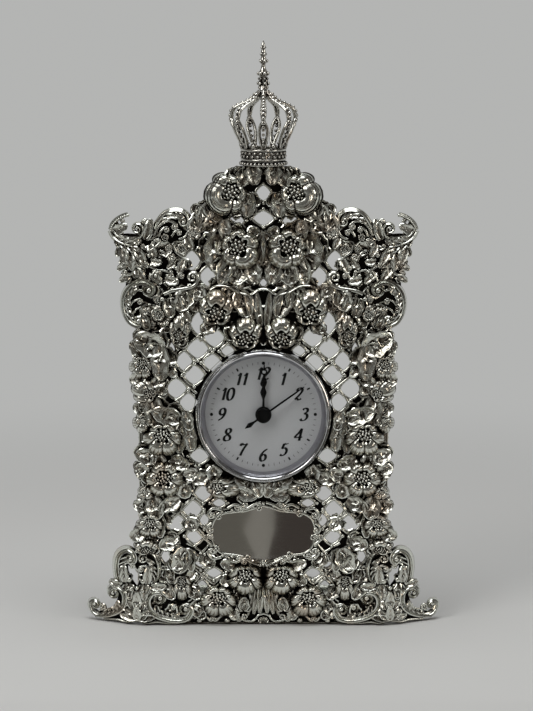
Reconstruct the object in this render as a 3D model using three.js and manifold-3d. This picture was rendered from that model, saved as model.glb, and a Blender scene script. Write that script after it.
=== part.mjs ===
// Silver openwork table clock with a crown, in millimetres, +Z up and the dial facing -Y.
// Every piece is drawn in face axes: x to the right, y up, z towards the viewer, with z = 0 on
// the front of the pierced panel and y = 0 on the table. The last group turns them upright.
import * as THREE from "three";
import { mergeVertices } from "three/addons/utils/BufferGeometryUtils.js";
import Module from "manifold-3d";

const wasm = await Module();
wasm.setup();
const { degToRad, radToDeg } = THREE.MathUtils;

// Clearances
const SEAT_GAP = 0.3;
const RUNNING_GAP = 0.3;
const RELIEF_GAP = 0.4;
const OVERRUN = 1;

// Case
const PANEL_HALF_WIDTH = 64;
const PANEL_THICK = 2.5;
const SHOULDER_HEIGHT = 206;
const PEDIMENT_RISE = 35;
const PEDIMENT_HALF_WIDTH = 33;
const PEDIMENT_STEPS = 4;
const CASE_DEPTH = 50;
const SIDE_THICK = 2;
const RAIL_THICK = 3;
const RAIL_HEIGHT = 7;
const RAIL_INSET = 3;
const ARCADE_HEIGHT = 7;
const ARCADE_LEG = 14;

// Lattice and flowers
const LATTICE_STEP_X = 14.1;
const LATTICE_STEP_Y = 15.1;
const LATTICE_BAR = 2.8;
const LATTICE_RIM = 3;
const FLOWER_ROOT = 1;
const FLOWER_SIDES = 8;
const SIDE_LATTICE_SCALE = 1.6;

// Corner brackets and feet
const ORNAMENT_THICK = 4;
const CORNER_FOLD = degToRad(28);
const CORNER_ROD = 2.4;
const FOLD_OUTSET = 2;
const BRACKET_DROP = 48;
const REAR_FOOT_OVERHANG = 3.75;
const REAR_FOOT_THICK = 3;

// Crown
const ARCH_COUNT = 7;
const ARCH_THICK = 2;
const ARCH_RIB = 1.8;
const CROWN_BULGE = 18.6;
const CROWN_SEAT_RADIUS = 13;
const CROWN_SEAT_THICK = 2;
const CROWN_BAND_RADIUS = 12;
const CROWN_BAND_WALL = 1.8;
const CROWN_BAND_HEIGHT = 6.6;
const CROWN_CAGE_HEIGHT = 29;
const CROWN_BOSS_RADIUS = 2.6;
const CROWN_BOSS_HEIGHT = 5;
const SPIRE_HEIGHT = 25.2;
const STRAP_HALF_WIDTH = 7;
const STRAP_THICK = 2;
const STRAP_DROP = 8;

// Nameplate
const NAMEPLATE_HEIGHT = 49;
const NAMEPLATE_HALF_WIDTH = 25.5;
const NAMEPLATE_HALF_HEIGHT = 14;
const NAMEPLATE_CORNER = 7;
const NAMEPLATE_THICK = 1.4;
const FRAME_BORDER = 4;
const FRAME_THICK = 3;

// Clock insert
const DIAL_HEIGHT = 112;
const CUP_RADIUS = 30.5;
const CUP_WALL = 1.3;
const CUP_DEPTH = 16;
const CUP_FLANGE = 2.1;
const CUP_FLANGE_THICK = 0.7;
const BEZEL_WALL = 2.1;
const BEZEL_DEPTH = 9.3;
const BEZEL_LIP = 1.2;
const GASKET_THICK = 0.7;
const GASKET_WIDTH = 6;
const COLLAR_WALL = 1.8;
const COLLAR_DEPTH = 10;
const DIAL_THICK = 0.6;
const DIAL_RING_SLOPE = 2.4;
const LENS_THICK = 1.4;
const LENS_DOME = 0.6;
const ROUND_SIDES = 32;
const SMALL_SIDES = 12;

// Hands
const HAND_THICK = 0.5;
const HUB_RIM = 1.2;
const HOUR_HAND_LENGTH = 20.5;
const MINUTE_HAND_LENGTH = 27.7;
const SECOND_HAND_LENGTH = 26;
const SECOND_TAIL_LENGTH = 11.7;
const SECOND_HUB_RADIUS = 3.95;
const SECOND_HUB_THICK = 1.1;
const RING_INNER = 0.95;
const RING_OUTER = 1.7;
const REST_SECONDS = 9.1;

// Movement
const PLATE_DROP = 3;
const PLATE_THICK = 1.2;
const ARBOR_RADIUS = 0.5;
const SETTING_ARBOR_RADIUS = 0.7;
const TUBE_WALL = 0.8;
const BUSH_WALL = 0.9;
const WHEEL_THICK = 0.7;
const LEVEL_GAP = 0.6;
const PINION_EXTRA = 0.2;
const TUBE_COLLAR = 0.7;
const TOOTH_TIP = 0.75;
const TOOTH_ROOT = 1.15;
const SCREW_COUNT = 3;
const SCREW_RADIUS = 1;
const SCREW_HEAD_RADIUS = 2;
const SCREW_HEAD_THICK = 1;
const PILLAR_WALL = 1.3;
const BATTERY_RADIUS = 5.8;
const BATTERY_THICK = 5.4;
const BATTERY_INSET = 4.3;
const BATTERY_ANGLE = degToRad(227);
const CONTACT_THICK = 0.4;
const HATCH_FLANGE = 1.4;
const HATCH_FLANGE_THICK = 0.8;
const COIN_SLOT = 1.2;
const KNOB_RADIUS = 4.5;
const KNOB_THICK = 3.2;
const KNOB_SOCKET = 2.2;
const MAGNET_RADIUS = 2.4;
const STATOR_THICK = 0.6;
const COIL_RADIUS = 3;
const COIL_LENGTH = 16;
const COIL_CHEEK = 1;
const BOARD_THICK = 0.8;
const CRYSTAL_RADIUS = 1;
const CRYSTAL_LENGTH = 6;

// Gear teeth, distances between arbors and the way each arbor lies from the one before it
const TEETH = {
  cannon: 12, motionWheel: 36, motionPinion: 10, hourWheel: 40,
  secondsPinion: 8, thirdWheel: 60, thirdPinion: 6, centreWheel: 48,
  secondsWheel: 48, intermediatePinion: 8, intermediateWheel: 40, rotorPinion: 8,
};
const MOTION_DISTANCE = 10.5;
const MOTION_ANGLE = degToRad(-90);
const THIRD_DISTANCE = 9.5;
const THIRD_ANGLE = degToRad(150);
const INTERMEDIATE_DISTANCE = 9.8;
const INTERMEDIATE_ANGLE = degToRad(30);
const ROTOR_DISTANCE = 9;
const ROTOR_ANGLE = degToRad(-50);

// Sizes that follow from the driving ones
const PANEL_BACK = -PANEL_THICK;
const PANEL_TOP = SHOULDER_HEIGHT + PEDIMENT_RISE;
const CROWN_AXIS = PANEL_BACK / 2;
const FOLD_X = PANEL_HALF_WIDTH + FOLD_OUTSET;
const BRACKET_ROOT = SHOULDER_HEIGHT - BRACKET_DROP;
const FRONT_REACH = CROWN_BULGE + CROWN_AXIS;
const BACK_REACH = CASE_DEPTH + REAR_FOOT_OVERHANG;
const FLANGE_RADIUS = CUP_RADIUS + CUP_FLANGE;
const FLANGE_TOP = SEAT_GAP + CUP_FLANGE_THICK;
const CUP_INNER = CUP_RADIUS - CUP_WALL;
const CUP_FLOOR = CUP_WALL - CUP_DEPTH;
const BEZEL_INNER = FLANGE_RADIUS + SEAT_GAP;
const BEZEL_RADIUS = BEZEL_INNER + BEZEL_WALL;
const BEZEL_TOP = SEAT_GAP + BEZEL_DEPTH;
const GASKET_INNER = CUP_RADIUS + SEAT_GAP;
const GASKET_OUTER = GASKET_INNER + GASKET_THICK;
const BORE_RADIUS = GASKET_OUTER + RUNNING_GAP;
const COLLAR_RADIUS = BORE_RADIUS + COLLAR_WALL;
const DIAL_LOW = FLANGE_TOP + SEAT_GAP;
const DIAL_TOP = DIAL_LOW + DIAL_THICK;
const LENS_TOP = BEZEL_TOP - BEZEL_LIP - SEAT_GAP;
const LENS_LOW = LENS_TOP - LENS_THICK;
const PLATE_LOW = -PLATE_DROP - PLATE_THICK;
const ARBOR_LOW = CUP_FLOOR + SEAT_GAP;
const ARBOR_TOP = PLATE_LOW - SEAT_GAP;
const TUBE_INNER = ARBOR_RADIUS + RUNNING_GAP;
const TUBE_RADIUS = TUBE_INNER + TUBE_WALL;
const PIPE_INNER = TUBE_RADIUS + RUNNING_GAP;
const PIPE_RADIUS = PIPE_INNER + TUBE_WALL;
const BUSH_INNER = PIPE_RADIUS + RUNNING_GAP;
const BUSH_RADIUS = BUSH_INNER + BUSH_WALL;
const BUSH_TOP = DIAL_TOP + LEVEL_GAP;
const HOUR_HAND_LOW = BUSH_TOP + LEVEL_GAP;
const MINUTE_HAND_LOW = HOUR_HAND_LOW + HAND_THICK + LEVEL_GAP;
const SECOND_HAND_LOW = MINUTE_HAND_LOW + HAND_THICK + LEVEL_GAP;
const SCREW_HOLE = SCREW_RADIUS + RUNNING_GAP;
const PILLAR_RADIUS = SCREW_HOLE + PILLAR_WALL;
const SCREW_CIRCLE = CUP_INNER - PILLAR_RADIUS - RELIEF_GAP;
const BATTERY_DISTANCE = CUP_INNER - BATTERY_RADIUS - BATTERY_INSET;
const BATTERY_LOW = ARBOR_LOW + SEAT_GAP;
const HATCH_RADIUS = BATTERY_RADIUS + SEAT_GAP;
const HATCH_HOLE = HATCH_RADIUS + RUNNING_GAP;

// Wheel levels, from the main plate towards the back
const HOUR_LEVEL = ARBOR_TOP - SEAT_GAP;
const MOTION_LEVEL = HOUR_LEVEL - WHEEL_THICK - LEVEL_GAP;
const CENTRE_LEVEL = MOTION_LEVEL - WHEEL_THICK - LEVEL_GAP;
const THIRD_LEVEL = CENTRE_LEVEL - WHEEL_THICK - LEVEL_GAP - TUBE_COLLAR;
const SECONDS_LEVEL = THIRD_LEVEL - WHEEL_THICK - LEVEL_GAP;
const INTERMEDIATE_LEVEL = SECONDS_LEVEL - WHEEL_THICK - LEVEL_GAP;
const MAGNET_LEVEL = INTERMEDIATE_LEVEL - WHEEL_THICK - LEVEL_GAP;

// Turns a closed geometry into a solid that can be joined and cut
function solidOf(geometry) {
  const bare = geometry.index ? geometry.toNonIndexed() : geometry.clone();
  bare.deleteAttribute("normal");
  bare.deleteAttribute("uv");
  const merged = mergeVertices(bare, 1e-4);
  const corners = merged.index.array;
  const kept = [];
  for (let i = 0; i < corners.length; i += 3) {
    const [a, b, c] = corners.slice(i, i + 3);
    if (a !== b && b !== c && c !== a) kept.push(a, b, c);
  }
  const vertProperties = merged.attributes.position.array;
  const triVerts = new Uint32Array(kept);
  return new wasm.Manifold(new wasm.Mesh({ numProp: 3, vertProperties, triVerts }));
}

function outline(points) {
  return new THREE.Shape(points.map(([x, y]) => new THREE.Vector2(x, y)));
}

function mirrored(points) {
  return points.map(([x, y]) => [-x, y]).reverse();
}

// Extrudes a flat outline between two heights along z
function prism(points, low, high) {
  const settings = { depth: high - low, bevelEnabled: false };
  return solidOf(new THREE.ExtrudeGeometry(outline(points), settings).translate(0, 0, low));
}

// Spins a profile of [radius, height] pairs about the z axis
function turned(profile, sides) {
  let area = 0;
  profile.forEach(([radius, height], i) => {
    const [nextRadius, nextHeight] = profile[(i + 1) % profile.length];
    area += radius * nextHeight - nextRadius * height;
  });
  const ordered = area > 0 ? profile : [...profile].reverse();
  const points = ordered.map(([radius, height]) => new THREE.Vector2(radius, height));
  if (profile.every(([radius]) => radius > 0)) points.push(points[0].clone());
  return solidOf(new THREE.LatheGeometry(points, sides).rotateX(Math.PI / 2));
}

function disc(radius, low, high, sides = SMALL_SIDES) {
  return turned([[0, low], [radius, low], [radius, high], [0, high]], sides);
}

function ring(inner, outer, low, high, sides = ROUND_SIDES) {
  return turned([[inner, low], [outer, low], [outer, high], [inner, high]], sides);
}

function block(x0, x1, y0, y1, z0, z1) {
  const box = new THREE.BoxGeometry(x1 - x0, y1 - y0, z1 - z0);
  return solidOf(box.translate((x0 + x1) / 2, (y0 + y1) / 2, (z0 + z1) / 2));
}

function largestBody(body) {
  return body.decompose().reduce((best, next) => (next.volume() > best.volume() ? next : best));
}

function flipped(body) {
  return body.mirror([1, 0, 0]);
}

// Finished pieces and their plain shop colours
const LOOKS = {
  silver: [0xb9b6ae, 0.32, 1],
  polished: [0xd8d8d6, 0.08, 1],
  chrome: [0xd2d4d6, 0.1, 1],
  glass: [0xe8f0f2, 0.03, 0],
  paper: [0xf3f3f0, 0.7, 0],
  ink: [0x131313, 0.45, 0.2],
  plastic: [0x1d1e20, 0.5, 0],
  rubber: [0x262626, 0.85, 0],
  steel: [0x9a9da1, 0.3, 1],
  brass: [0xb58f45, 0.3, 1],
  copper: [0xb06a3a, 0.35, 1],
  board: [0x2c6b3c, 0.55, 0],
};
const face = new THREE.Group();

function addPiece(name, look, body) {
  const made = body.getMesh();
  const geometry = new THREE.BufferGeometry();
  geometry.setAttribute("position", new THREE.BufferAttribute(made.vertProperties, 3));
  geometry.setIndex(new THREE.BufferAttribute(made.triVerts, 1));
  const [color, roughness, metalness] = LOOKS[look];
  const material = new THREE.MeshStandardMaterial({ color, roughness, metalness });
  const mesh = new THREE.Mesh(geometry, material);
  mesh.name = name;
  face.add(mesh);
}

// Flowers on the right half of the panel; the left half mirrors them
const FLOWERS = [
  { x: 18.3, y: PANEL_TOP - 15, radius: 10.6, height: 8 },
  { x: 11.5, y: PANEL_TOP - 42.6, radius: 9.2, height: 7.5 },
  { x: 24, y: DIAL_HEIGHT + 55, radius: 8.6, height: 7.5 },
  { x: 9.2, y: DIAL_HEIGHT + 44.5, radius: 8, height: 6.5 },
  { x: PANEL_HALF_WIDTH - 20.7, y: DIAL_HEIGHT + 39, radius: 6, height: 6 },
  { x: PANEL_HALF_WIDTH - 2, y: DIAL_HEIGHT + 24, radius: 6.5, height: 6 },
  { x: PANEL_HALF_WIDTH - 3.4, y: DIAL_HEIGHT + 12.8, radius: 6, height: 6 },
  { x: PANEL_HALF_WIDTH - 10.8, y: DIAL_HEIGHT - 13.3, radius: 9.2, height: 8 },
  { x: PANEL_HALF_WIDTH - 12.8, y: DIAL_HEIGHT - 35.3, radius: 9, height: 8 },
  { x: PANEL_HALF_WIDTH - 5, y: NAMEPLATE_HEIGHT + 3.2, radius: 7, height: 6.5 },
  { x: 23, y: DIAL_HEIGHT - 37.8, radius: 7, height: 6 },
  { x: 24.5, y: 12, radius: 8.4, height: 7 },
  { x: 9, y: 22, radius: 7, height: 6.5 },
];

function flowerDome({ x, y, radius, height }) {
  const profile = [
    [0, -FLOWER_ROOT],
    [radius * 0.8, -FLOWER_ROOT],
    [radius, height * 0.5],
    [radius * 0.6, height],
    [0, height],
  ];
  return turned(profile, FLOWER_SIDES).translate([x, y, 0]);
}

// Open diamonds of the lattice inside a field, kept where the test lets them through
const CELL_X = LATTICE_STEP_X / 2;
const CELL_Y = LATTICE_STEP_Y / 2;
const CELL_INRADIUS = (CELL_X * CELL_Y) / Math.hypot(CELL_X, CELL_Y);
const OPEN_SHARE = 1 - LATTICE_BAR / 2 / CELL_INRADIUS;
const OPEN_X = CELL_X * OPEN_SHARE;
const OPEN_Y = CELL_Y * OPEN_SHARE;

function latticeCentres(columns, rows, scale, test) {
  const centres = [];
  for (let column = -columns; column <= columns; column += 1) {
    for (let row = 0; row <= rows; row += 1) {
      const x = column * CELL_X * scale;
      const y = row * CELL_Y * scale;
      if ((column + row) % 2 === 0 && test(x, y)) centres.push([x, y]);
    }
  }
  return centres;
}

function diamondAt([x, y], scale) {
  const wide = OPEN_X * scale;
  const tall = OPEN_Y * scale;
  return [[x - wide, y], [x, y - tall], [x + wide, y], [x, y + tall]];
}

function piercedPlate(edge, centres, scale, low, high) {
  const openings = centres.map((centre) => {
    return prism(diamondAt(centre, scale), low - OVERRUN, high + OVERRUN);
  });
  return prism(edge, low, high).subtract(wasm.Manifold.union(openings));
}

// Pediment edge: half width of the panel above its shoulders
function pedimentHalfWidth(y) {
  const share = (y - SHOULDER_HEIGHT) / PEDIMENT_RISE;
  return PEDIMENT_HALF_WIDTH + (CROWN_SEAT_RADIUS - PEDIMENT_HALF_WIDTH) * share * share;
}

function panelHalfWidth(y) {
  return y > SHOULDER_HEIGHT ? pedimentHalfWidth(y) : PANEL_HALF_WIDTH;
}

function panelOutline() {
  const right = [[PANEL_HALF_WIDTH, 0], [PANEL_HALF_WIDTH, SHOULDER_HEIGHT]];
  for (let step = 0; step <= PEDIMENT_STEPS; step += 1) {
    const y = SHOULDER_HEIGHT + (PEDIMENT_RISE * step) / PEDIMENT_STEPS;
    right.push([pedimentHalfWidth(y), y]);
  }
  return [...right, ...mirrored(right)];
}

function cartouche(halfWidth, halfHeight, corner) {
  const right = [
    [halfWidth - corner, -halfHeight],
    [halfWidth, corner - halfHeight],
    [halfWidth, halfHeight - corner],
    [halfWidth - corner, halfHeight],
  ];
  const upright = [...right, ...mirrored(right)];
  return upright.map(([x, y]) => [x, y + NAMEPLATE_HEIGHT]);
}

const FRAME_HALF_WIDTH = NAMEPLATE_HALF_WIDTH + FRAME_BORDER;
const FRAME_HALF_HEIGHT = NAMEPLATE_HALF_HEIGHT + FRAME_BORDER;

function openDiamond(x, y) {
  const across = Math.abs(x) + OPEN_X + LATTICE_RIM;
  const inside = across < panelHalfWidth(y) && across < panelHalfWidth(y + OPEN_Y);
  const above = y - OPEN_Y > LATTICE_RIM && y + OPEN_Y < PANEL_TOP - LATTICE_RIM;
  const clearOfDial = Math.hypot(x, y - DIAL_HEIGHT) > COLLAR_RADIUS + OPEN_Y;
  const besidePlate = Math.abs(x) > FRAME_HALF_WIDTH + OPEN_X;
  const clearOfPlate = besidePlate || Math.abs(y - NAMEPLATE_HEIGHT) > FRAME_HALF_HEIGHT + OPEN_Y;
  const clearOfFlowers = FLOWERS.every((flower) => {
    return Math.hypot(Math.abs(x) - flower.x, y - flower.y) > flower.radius + OPEN_Y * 0.8;
  });
  return inside && above && clearOfDial && clearOfPlate && clearOfFlowers;
}

// Corner ornaments, drawn from the fold outwards: the half on the panel and the half turned back
const FOOT_HALF = [
  [0, 0], [28, 0], [30, 3], [29.5, 10], [26, 13], [21, 9.5], [17, 11], [14, 17],
  [11.5, 21], [11.5, 33], [8, 39.5], [4, 40], [0, 36], [0, 31], [4, 27], [4, 19], [0, 16],
];
const FOOT_RODS = [[0, 16], [31, 36]];
const BRACKET_INNER = [
  [0, 0], [2, 2], [6, 11], [12, 17.5], [24, 18], [30, 20], [31, 25], [28, 28.5], [22, 26],
  [10, 24], [8, 40], [20, 45], [26, 47], [31, 50], [31, 56], [26, 59.5], [18, 58], [10, 52], [0, 54],
];
const BRACKET_OUTER = [
  [0, 0], [2, 0], [6.5, 4], [9, 12], [9.5, 24], [7.5, 32], [8.5, 42], [12, 46],
  [15, 52], [15.5, 58], [13.5, 60.5], [10, 56], [4, 52], [0, 54],
];
const BRACKET_RODS = [[0, 54]];

function foldedOrnament(innerHalf, outerHalf, rods, lift) {
  const middle = ORNAMENT_THICK / 2;
  let body = prism(mirrored(innerHalf), -middle, middle);
  body = body.add(prism(outerHalf, -middle, middle).rotate([0, radToDeg(CORNER_FOLD), 0]));
  for (const [low, high] of rods) {
    body = body.add(disc(CORNER_ROD, low, high).rotate([-90, 0, 0]));
  }
  return body.translate([FOLD_X, lift, SEAT_GAP + middle]);
}

function ornamentZone(points, lift) {
  const reach = Math.max(...points.map(([x]) => x)) + RELIEF_GAP;
  const top = Math.max(...points.map(([, y]) => y)) + lift + RELIEF_GAP;
  const far = FOLD_X + reach;
  return block(FOLD_X - reach, far, lift - RELIEF_GAP, top, 0, far);
}

// Front panel: pierced plate with its flowers, cleared where other pieces sit on it
function frontPanel() {
  const rows = Math.ceil(PANEL_TOP / CELL_Y);
  const columns = Math.ceil(PANEL_HALF_WIDTH / CELL_X);
  const centres = latticeCentres(columns, rows, 1, openDiamond);
  let body = piercedPlate(panelOutline(), centres, 1, PANEL_BACK, 0);
  for (const flower of FLOWERS) {
    const dome = flowerDome(flower);
    body = body.add(dome).add(flipped(dome));
  }
  const zones = [ornamentZone(FOOT_HALF, 0), ornamentZone(BRACKET_INNER, BRACKET_ROOT)];
  for (const zone of zones) body = body.subtract(zone).subtract(flipped(zone));
  const overFrame = FRAME_BORDER + RELIEF_GAP;
  const frameEdge = cartouche(
    NAMEPLATE_HALF_WIDTH + overFrame, NAMEPLATE_HALF_HEIGHT + overFrame, NAMEPLATE_CORNER,
  );
  body = body.subtract(prism(frameEdge, 0, BEZEL_TOP));
  const bezelRoom = disc(BEZEL_RADIUS + RELIEF_GAP, 0, BEZEL_TOP + OVERRUN, ROUND_SIDES);
  const bore = disc(BORE_RADIUS, PANEL_BACK - OVERRUN, OVERRUN, ROUND_SIDES);
  const atDial = [0, DIAL_HEIGHT, 0];
  return largestBody(body.subtract(bezelRoom.translate(atDial)).subtract(bore.translate(atDial)));
}

// Side panels: pierced plates standing behind the front panel, on an arcade between two legs
const SIDE_LENGTH = CASE_DEPTH - PANEL_THICK - SEAT_GAP;

function sidePanel() {
  const half = SIDE_LENGTH / 2;
  const leg = half - ARCADE_LEG;
  const right = [
    [leg, ARCADE_HEIGHT], [leg + ARCADE_HEIGHT / 2, 0], [half, 0], [half, SHOULDER_HEIGHT],
  ];
  const edge = [...right, ...mirrored(right)];
  const reachX = OPEN_X * SIDE_LATTICE_SCALE + LATTICE_RIM;
  const reachY = OPEN_Y * SIDE_LATTICE_SCALE + LATTICE_RIM;
  const test = (x, y) => {
    const inside = Math.abs(x) + reachX < half;
    const below = y + reachY < SHOULDER_HEIGHT - RAIL_HEIGHT - RAIL_INSET;
    return inside && below && y - reachY > ARCADE_HEIGHT + RAIL_HEIGHT;
  };
  const columns = Math.ceil(half / CELL_X);
  const rows = Math.ceil(SHOULDER_HEIGHT / CELL_Y);
  const centres = latticeCentres(columns, rows, SIDE_LATTICE_SCALE, test);
  const flat = piercedPlate(edge, centres, SIDE_LATTICE_SCALE, -SIDE_THICK / 2, SIDE_THICK / 2);
  const middle = PANEL_BACK - SEAT_GAP - half;
  return flat.rotate([0, 90, 0]).translate([PANEL_HALF_WIDTH - SIDE_THICK / 2, 0, middle]);
}

// Rear feet: low scroll plates on the outside of the side panels
const REAR_FOOT = [
  [0, 0], [27, 0], [29, 3], [28, 9], [24, 11], [19, 9], [15, 13], [12, 20], [10.5, 30],
  [7, 34], [3, 33], [2, 26], [4, 18], [1, 10],
];

function rearFoot() {
  const flat = prism(REAR_FOOT, 0, REAR_FOOT_THICK).rotate([0, 90, 0]);
  return flat.translate([PANEL_HALF_WIDTH + SEAT_GAP, 0, FOOT_TAIL - BACK_REACH]);
}

const FOOT_TAIL = Math.max(...REAR_FOOT.map(([x]) => x));

function backRail(low) {
  const end = PANEL_HALF_WIDTH - SIDE_THICK - SEAT_GAP;
  const back = RAIL_INSET - CASE_DEPTH;
  return block(-end, end, low, low + RAIL_HEIGHT, back, back + RAIL_THICK);
}

// Crown: seat, strap, band, arches, boss and spire, all about one upright axis over the panel
const SEAT_LOW = PANEL_TOP + SEAT_GAP;
const BAND_LOW = SEAT_LOW + CROWN_SEAT_THICK + SEAT_GAP;
const BAND_TOP = BAND_LOW + CROWN_BAND_HEIGHT;
const CAGE_LOW = BAND_TOP + SEAT_GAP;
const CAGE_TOP = CAGE_LOW + CROWN_CAGE_HEIGHT;
const BOSS_LOW = CAGE_TOP - CROWN_BOSS_HEIGHT;
const SPIRE_LOW = CAGE_TOP + SEAT_GAP;

function upright(profile, sides, low) {
  return turned(profile, sides).rotate([-90, 0, 0]).translate([0, low, CROWN_AXIS]);
}

function crownBand() {
  const inner = CROWN_BAND_RADIUS - CROWN_BAND_WALL;
  const waist = CROWN_BAND_RADIUS - CROWN_BAND_WALL / 2;
  const edge = CROWN_BAND_WALL / 2;
  const profile = [
    [inner, 0], [CROWN_BAND_RADIUS, 0], [CROWN_BAND_RADIUS, edge], [waist, 2 * edge],
    [waist, CROWN_BAND_HEIGHT - 2 * edge], [CROWN_BAND_RADIUS, CROWN_BAND_HEIGHT - edge],
    [CROWN_BAND_RADIUS, CROWN_BAND_HEIGHT], [inner, CROWN_BAND_HEIGHT],
  ];
  return upright(profile, 2 * SMALL_SIDES, BAND_LOW);
}

// Arch edge as shares of the bulge and of the cage height, from the band up to the boss
const ARCH_CURVE = [
  [0.86, 0.28], [1, 0.52], [0.94, 0.68], [0.72, 0.79], [0.46, 0.87],
];

function crownArch(index) {
  const stand = CROWN_BAND_RADIUS - CROWN_BAND_WALL / 2;
  const meet = CROWN_BOSS_RADIUS + SEAT_GAP;
  const outer = [[stand, 0]];
  const inner = [[stand - ARCH_RIB, 0]];
  for (const [reach, rise] of ARCH_CURVE) {
    outer.push([CROWN_BULGE * reach, CROWN_CAGE_HEIGHT * rise]);
    inner.push([CROWN_BULGE * reach - ARCH_RIB, CROWN_CAGE_HEIGHT * rise - ARCH_RIB * rise]);
  }
  outer.push([meet, CROWN_CAGE_HEIGHT - RELIEF_GAP]);
  inner.push([meet, CROWN_CAGE_HEIGHT - ARCH_RIB - RELIEF_GAP]);
  const rib = prism([...outer, ...inner.reverse()], -ARCH_THICK / 2, ARCH_THICK / 2);
  const turn = (360 * index) / ARCH_COUNT - 90;
  return rib.rotate([0, turn, 0]).translate([0, CAGE_LOW, CROWN_AXIS]);
}

function crownBoss() {
  const radius = CROWN_BOSS_RADIUS;
  const profile = [
    [0, 0], [radius * 0.6, 0], [radius, CROWN_BOSS_HEIGHT * 0.3], [radius, CROWN_BOSS_HEIGHT * 0.85],
    [radius * 0.8, CROWN_BOSS_HEIGHT], [0, CROWN_BOSS_HEIGHT],
  ];
  return upright(profile, SMALL_SIDES, BOSS_LOW);
}

// Spire as radii against shares of its height
const SPIRE_PROFILE = [
  [0, 0], [3.4, 0.02], [3.6, 0.1], [1.8, 0.16], [2.6, 0.24], [2.6, 0.34], [1.4, 0.42],
  [1.9, 0.52], [1.9, 0.64], [1.1, 0.72], [1.3, 0.84], [0.5, 0.96], [0, 1],
];

function crownSpire() {
  const profile = SPIRE_PROFILE.map(([radius, share]) => [radius, share * SPIRE_HEIGHT]);
  return upright(profile, SMALL_SIDES, SPIRE_LOW);
}

// Nameplate and its frame
function nameplateFrame() {
  const rim = cartouche(FRAME_HALF_WIDTH, FRAME_HALF_HEIGHT, NAMEPLATE_CORNER);
  const recess = cartouche(
    NAMEPLATE_HALF_WIDTH + SEAT_GAP, NAMEPLATE_HALF_HEIGHT + SEAT_GAP, NAMEPLATE_CORNER,
  );
  const body = prism(rim, SEAT_GAP, SEAT_GAP + FRAME_THICK);
  return body.subtract(prism(recess, -OVERRUN, FRAME_THICK + OVERRUN));
}

function nameplate() {
  const edge = cartouche(NAMEPLATE_HALF_WIDTH, NAMEPLATE_HALF_HEIGHT, NAMEPLATE_CORNER);
  return prism(edge, SEAT_GAP, SEAT_GAP + NAMEPLATE_THICK);
}

// Places a piece of the insert, drawn about the dial's axis, at the dial
function atDial(body, x = 0, y = 0) {
  return body.translate([x, DIAL_HEIGHT + y, 0]);
}

function polar(distance, angle) {
  return [distance * Math.cos(angle), distance * Math.sin(angle)];
}

const SCREW_PLACES = Array.from({ length: SCREW_COUNT }, (unused, index) => {
  return polar(SCREW_CIRCLE, degToRad(60) + (2 * Math.PI * index) / SCREW_COUNT);
});
const MOTION_AT = polar(MOTION_DISTANCE, MOTION_ANGLE);
const THIRD_AT = polar(THIRD_DISTANCE, THIRD_ANGLE);
const INTERMEDIATE_AT = polar(INTERMEDIATE_DISTANCE, INTERMEDIATE_ANGLE);
const ROTOR_STEP = polar(ROTOR_DISTANCE, ROTOR_ANGLE);
const ROTOR_AT = [INTERMEDIATE_AT[0] + ROTOR_STEP[0], INTERMEDIATE_AT[1] + ROTOR_STEP[1]];
const BATTERY_AT = polar(BATTERY_DISTANCE, BATTERY_ANGLE);

function bezel() {
  const lip = BEZEL_INNER - BEZEL_LIP;
  const profile = [
    [BEZEL_INNER, SEAT_GAP], [BEZEL_RADIUS, SEAT_GAP], [BEZEL_RADIUS, BEZEL_DEPTH * 0.55],
    [BEZEL_RADIUS - BEZEL_WALL * 0.35, BEZEL_DEPTH * 0.9],
    [BEZEL_RADIUS - BEZEL_WALL * 0.8, BEZEL_TOP], [lip, BEZEL_TOP - BEZEL_LIP * 0.4],
    [lip, BEZEL_TOP - BEZEL_LIP], [BEZEL_INNER, BEZEL_TOP - BEZEL_LIP],
  ];
  return turned(profile, ROUND_SIDES);
}

function lens() {
  const crown = FLANGE_RADIUS - 2 * BEZEL_LIP;
  const profile = [
    [0, LENS_LOW], [FLANGE_RADIUS, LENS_LOW], [FLANGE_RADIUS, LENS_TOP], [crown, LENS_TOP],
    [crown / 2, LENS_TOP + LENS_DOME * 0.75], [0, LENS_TOP + LENS_DOME],
  ];
  return turned(profile, ROUND_SIDES);
}

function dialRing() {
  const low = DIAL_TOP + SEAT_GAP;
  const high = LENS_LOW - SEAT_GAP;
  const throat = FLANGE_RADIUS - DIAL_RING_SLOPE;
  const rim = FLANGE_RADIUS - COLLAR_WALL / 3;
  const profile = [[throat, low], [FLANGE_RADIUS, low], [FLANGE_RADIUS, high], [rim, high]];
  return turned(profile, ROUND_SIDES);
}

function cup() {
  const profile = [
    [0, -CUP_DEPTH], [CUP_RADIUS, -CUP_DEPTH], [CUP_RADIUS, SEAT_GAP], [FLANGE_RADIUS, SEAT_GAP],
    [FLANGE_RADIUS, FLANGE_TOP], [CUP_INNER, FLANGE_TOP], [CUP_INNER, CUP_FLOOR], [0, CUP_FLOOR],
  ];
  let body = turned(profile, ROUND_SIDES);
  const below = -CUP_DEPTH - OVERRUN;
  for (const [x, y] of SCREW_PLACES) {
    const pillar = disc(PILLAR_RADIUS, CUP_FLOOR - SEAT_GAP, ARBOR_TOP);
    const through = disc(SCREW_HOLE, below, 0);
    body = body.add(pillar.translate([x, y, 0])).subtract(through.translate([x, y, 0]));
  }
  const setting = disc(SETTING_ARBOR_RADIUS + RUNNING_GAP, below, CUP_FLOOR + OVERRUN);
  const hatch = disc(HATCH_HOLE, below, CUP_FLOOR + OVERRUN, 2 * SMALL_SIDES);
  body = body.subtract(setting.translate([...MOTION_AT, 0]));
  return body.subtract(hatch.translate([...BATTERY_AT, 0]));
}

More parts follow.
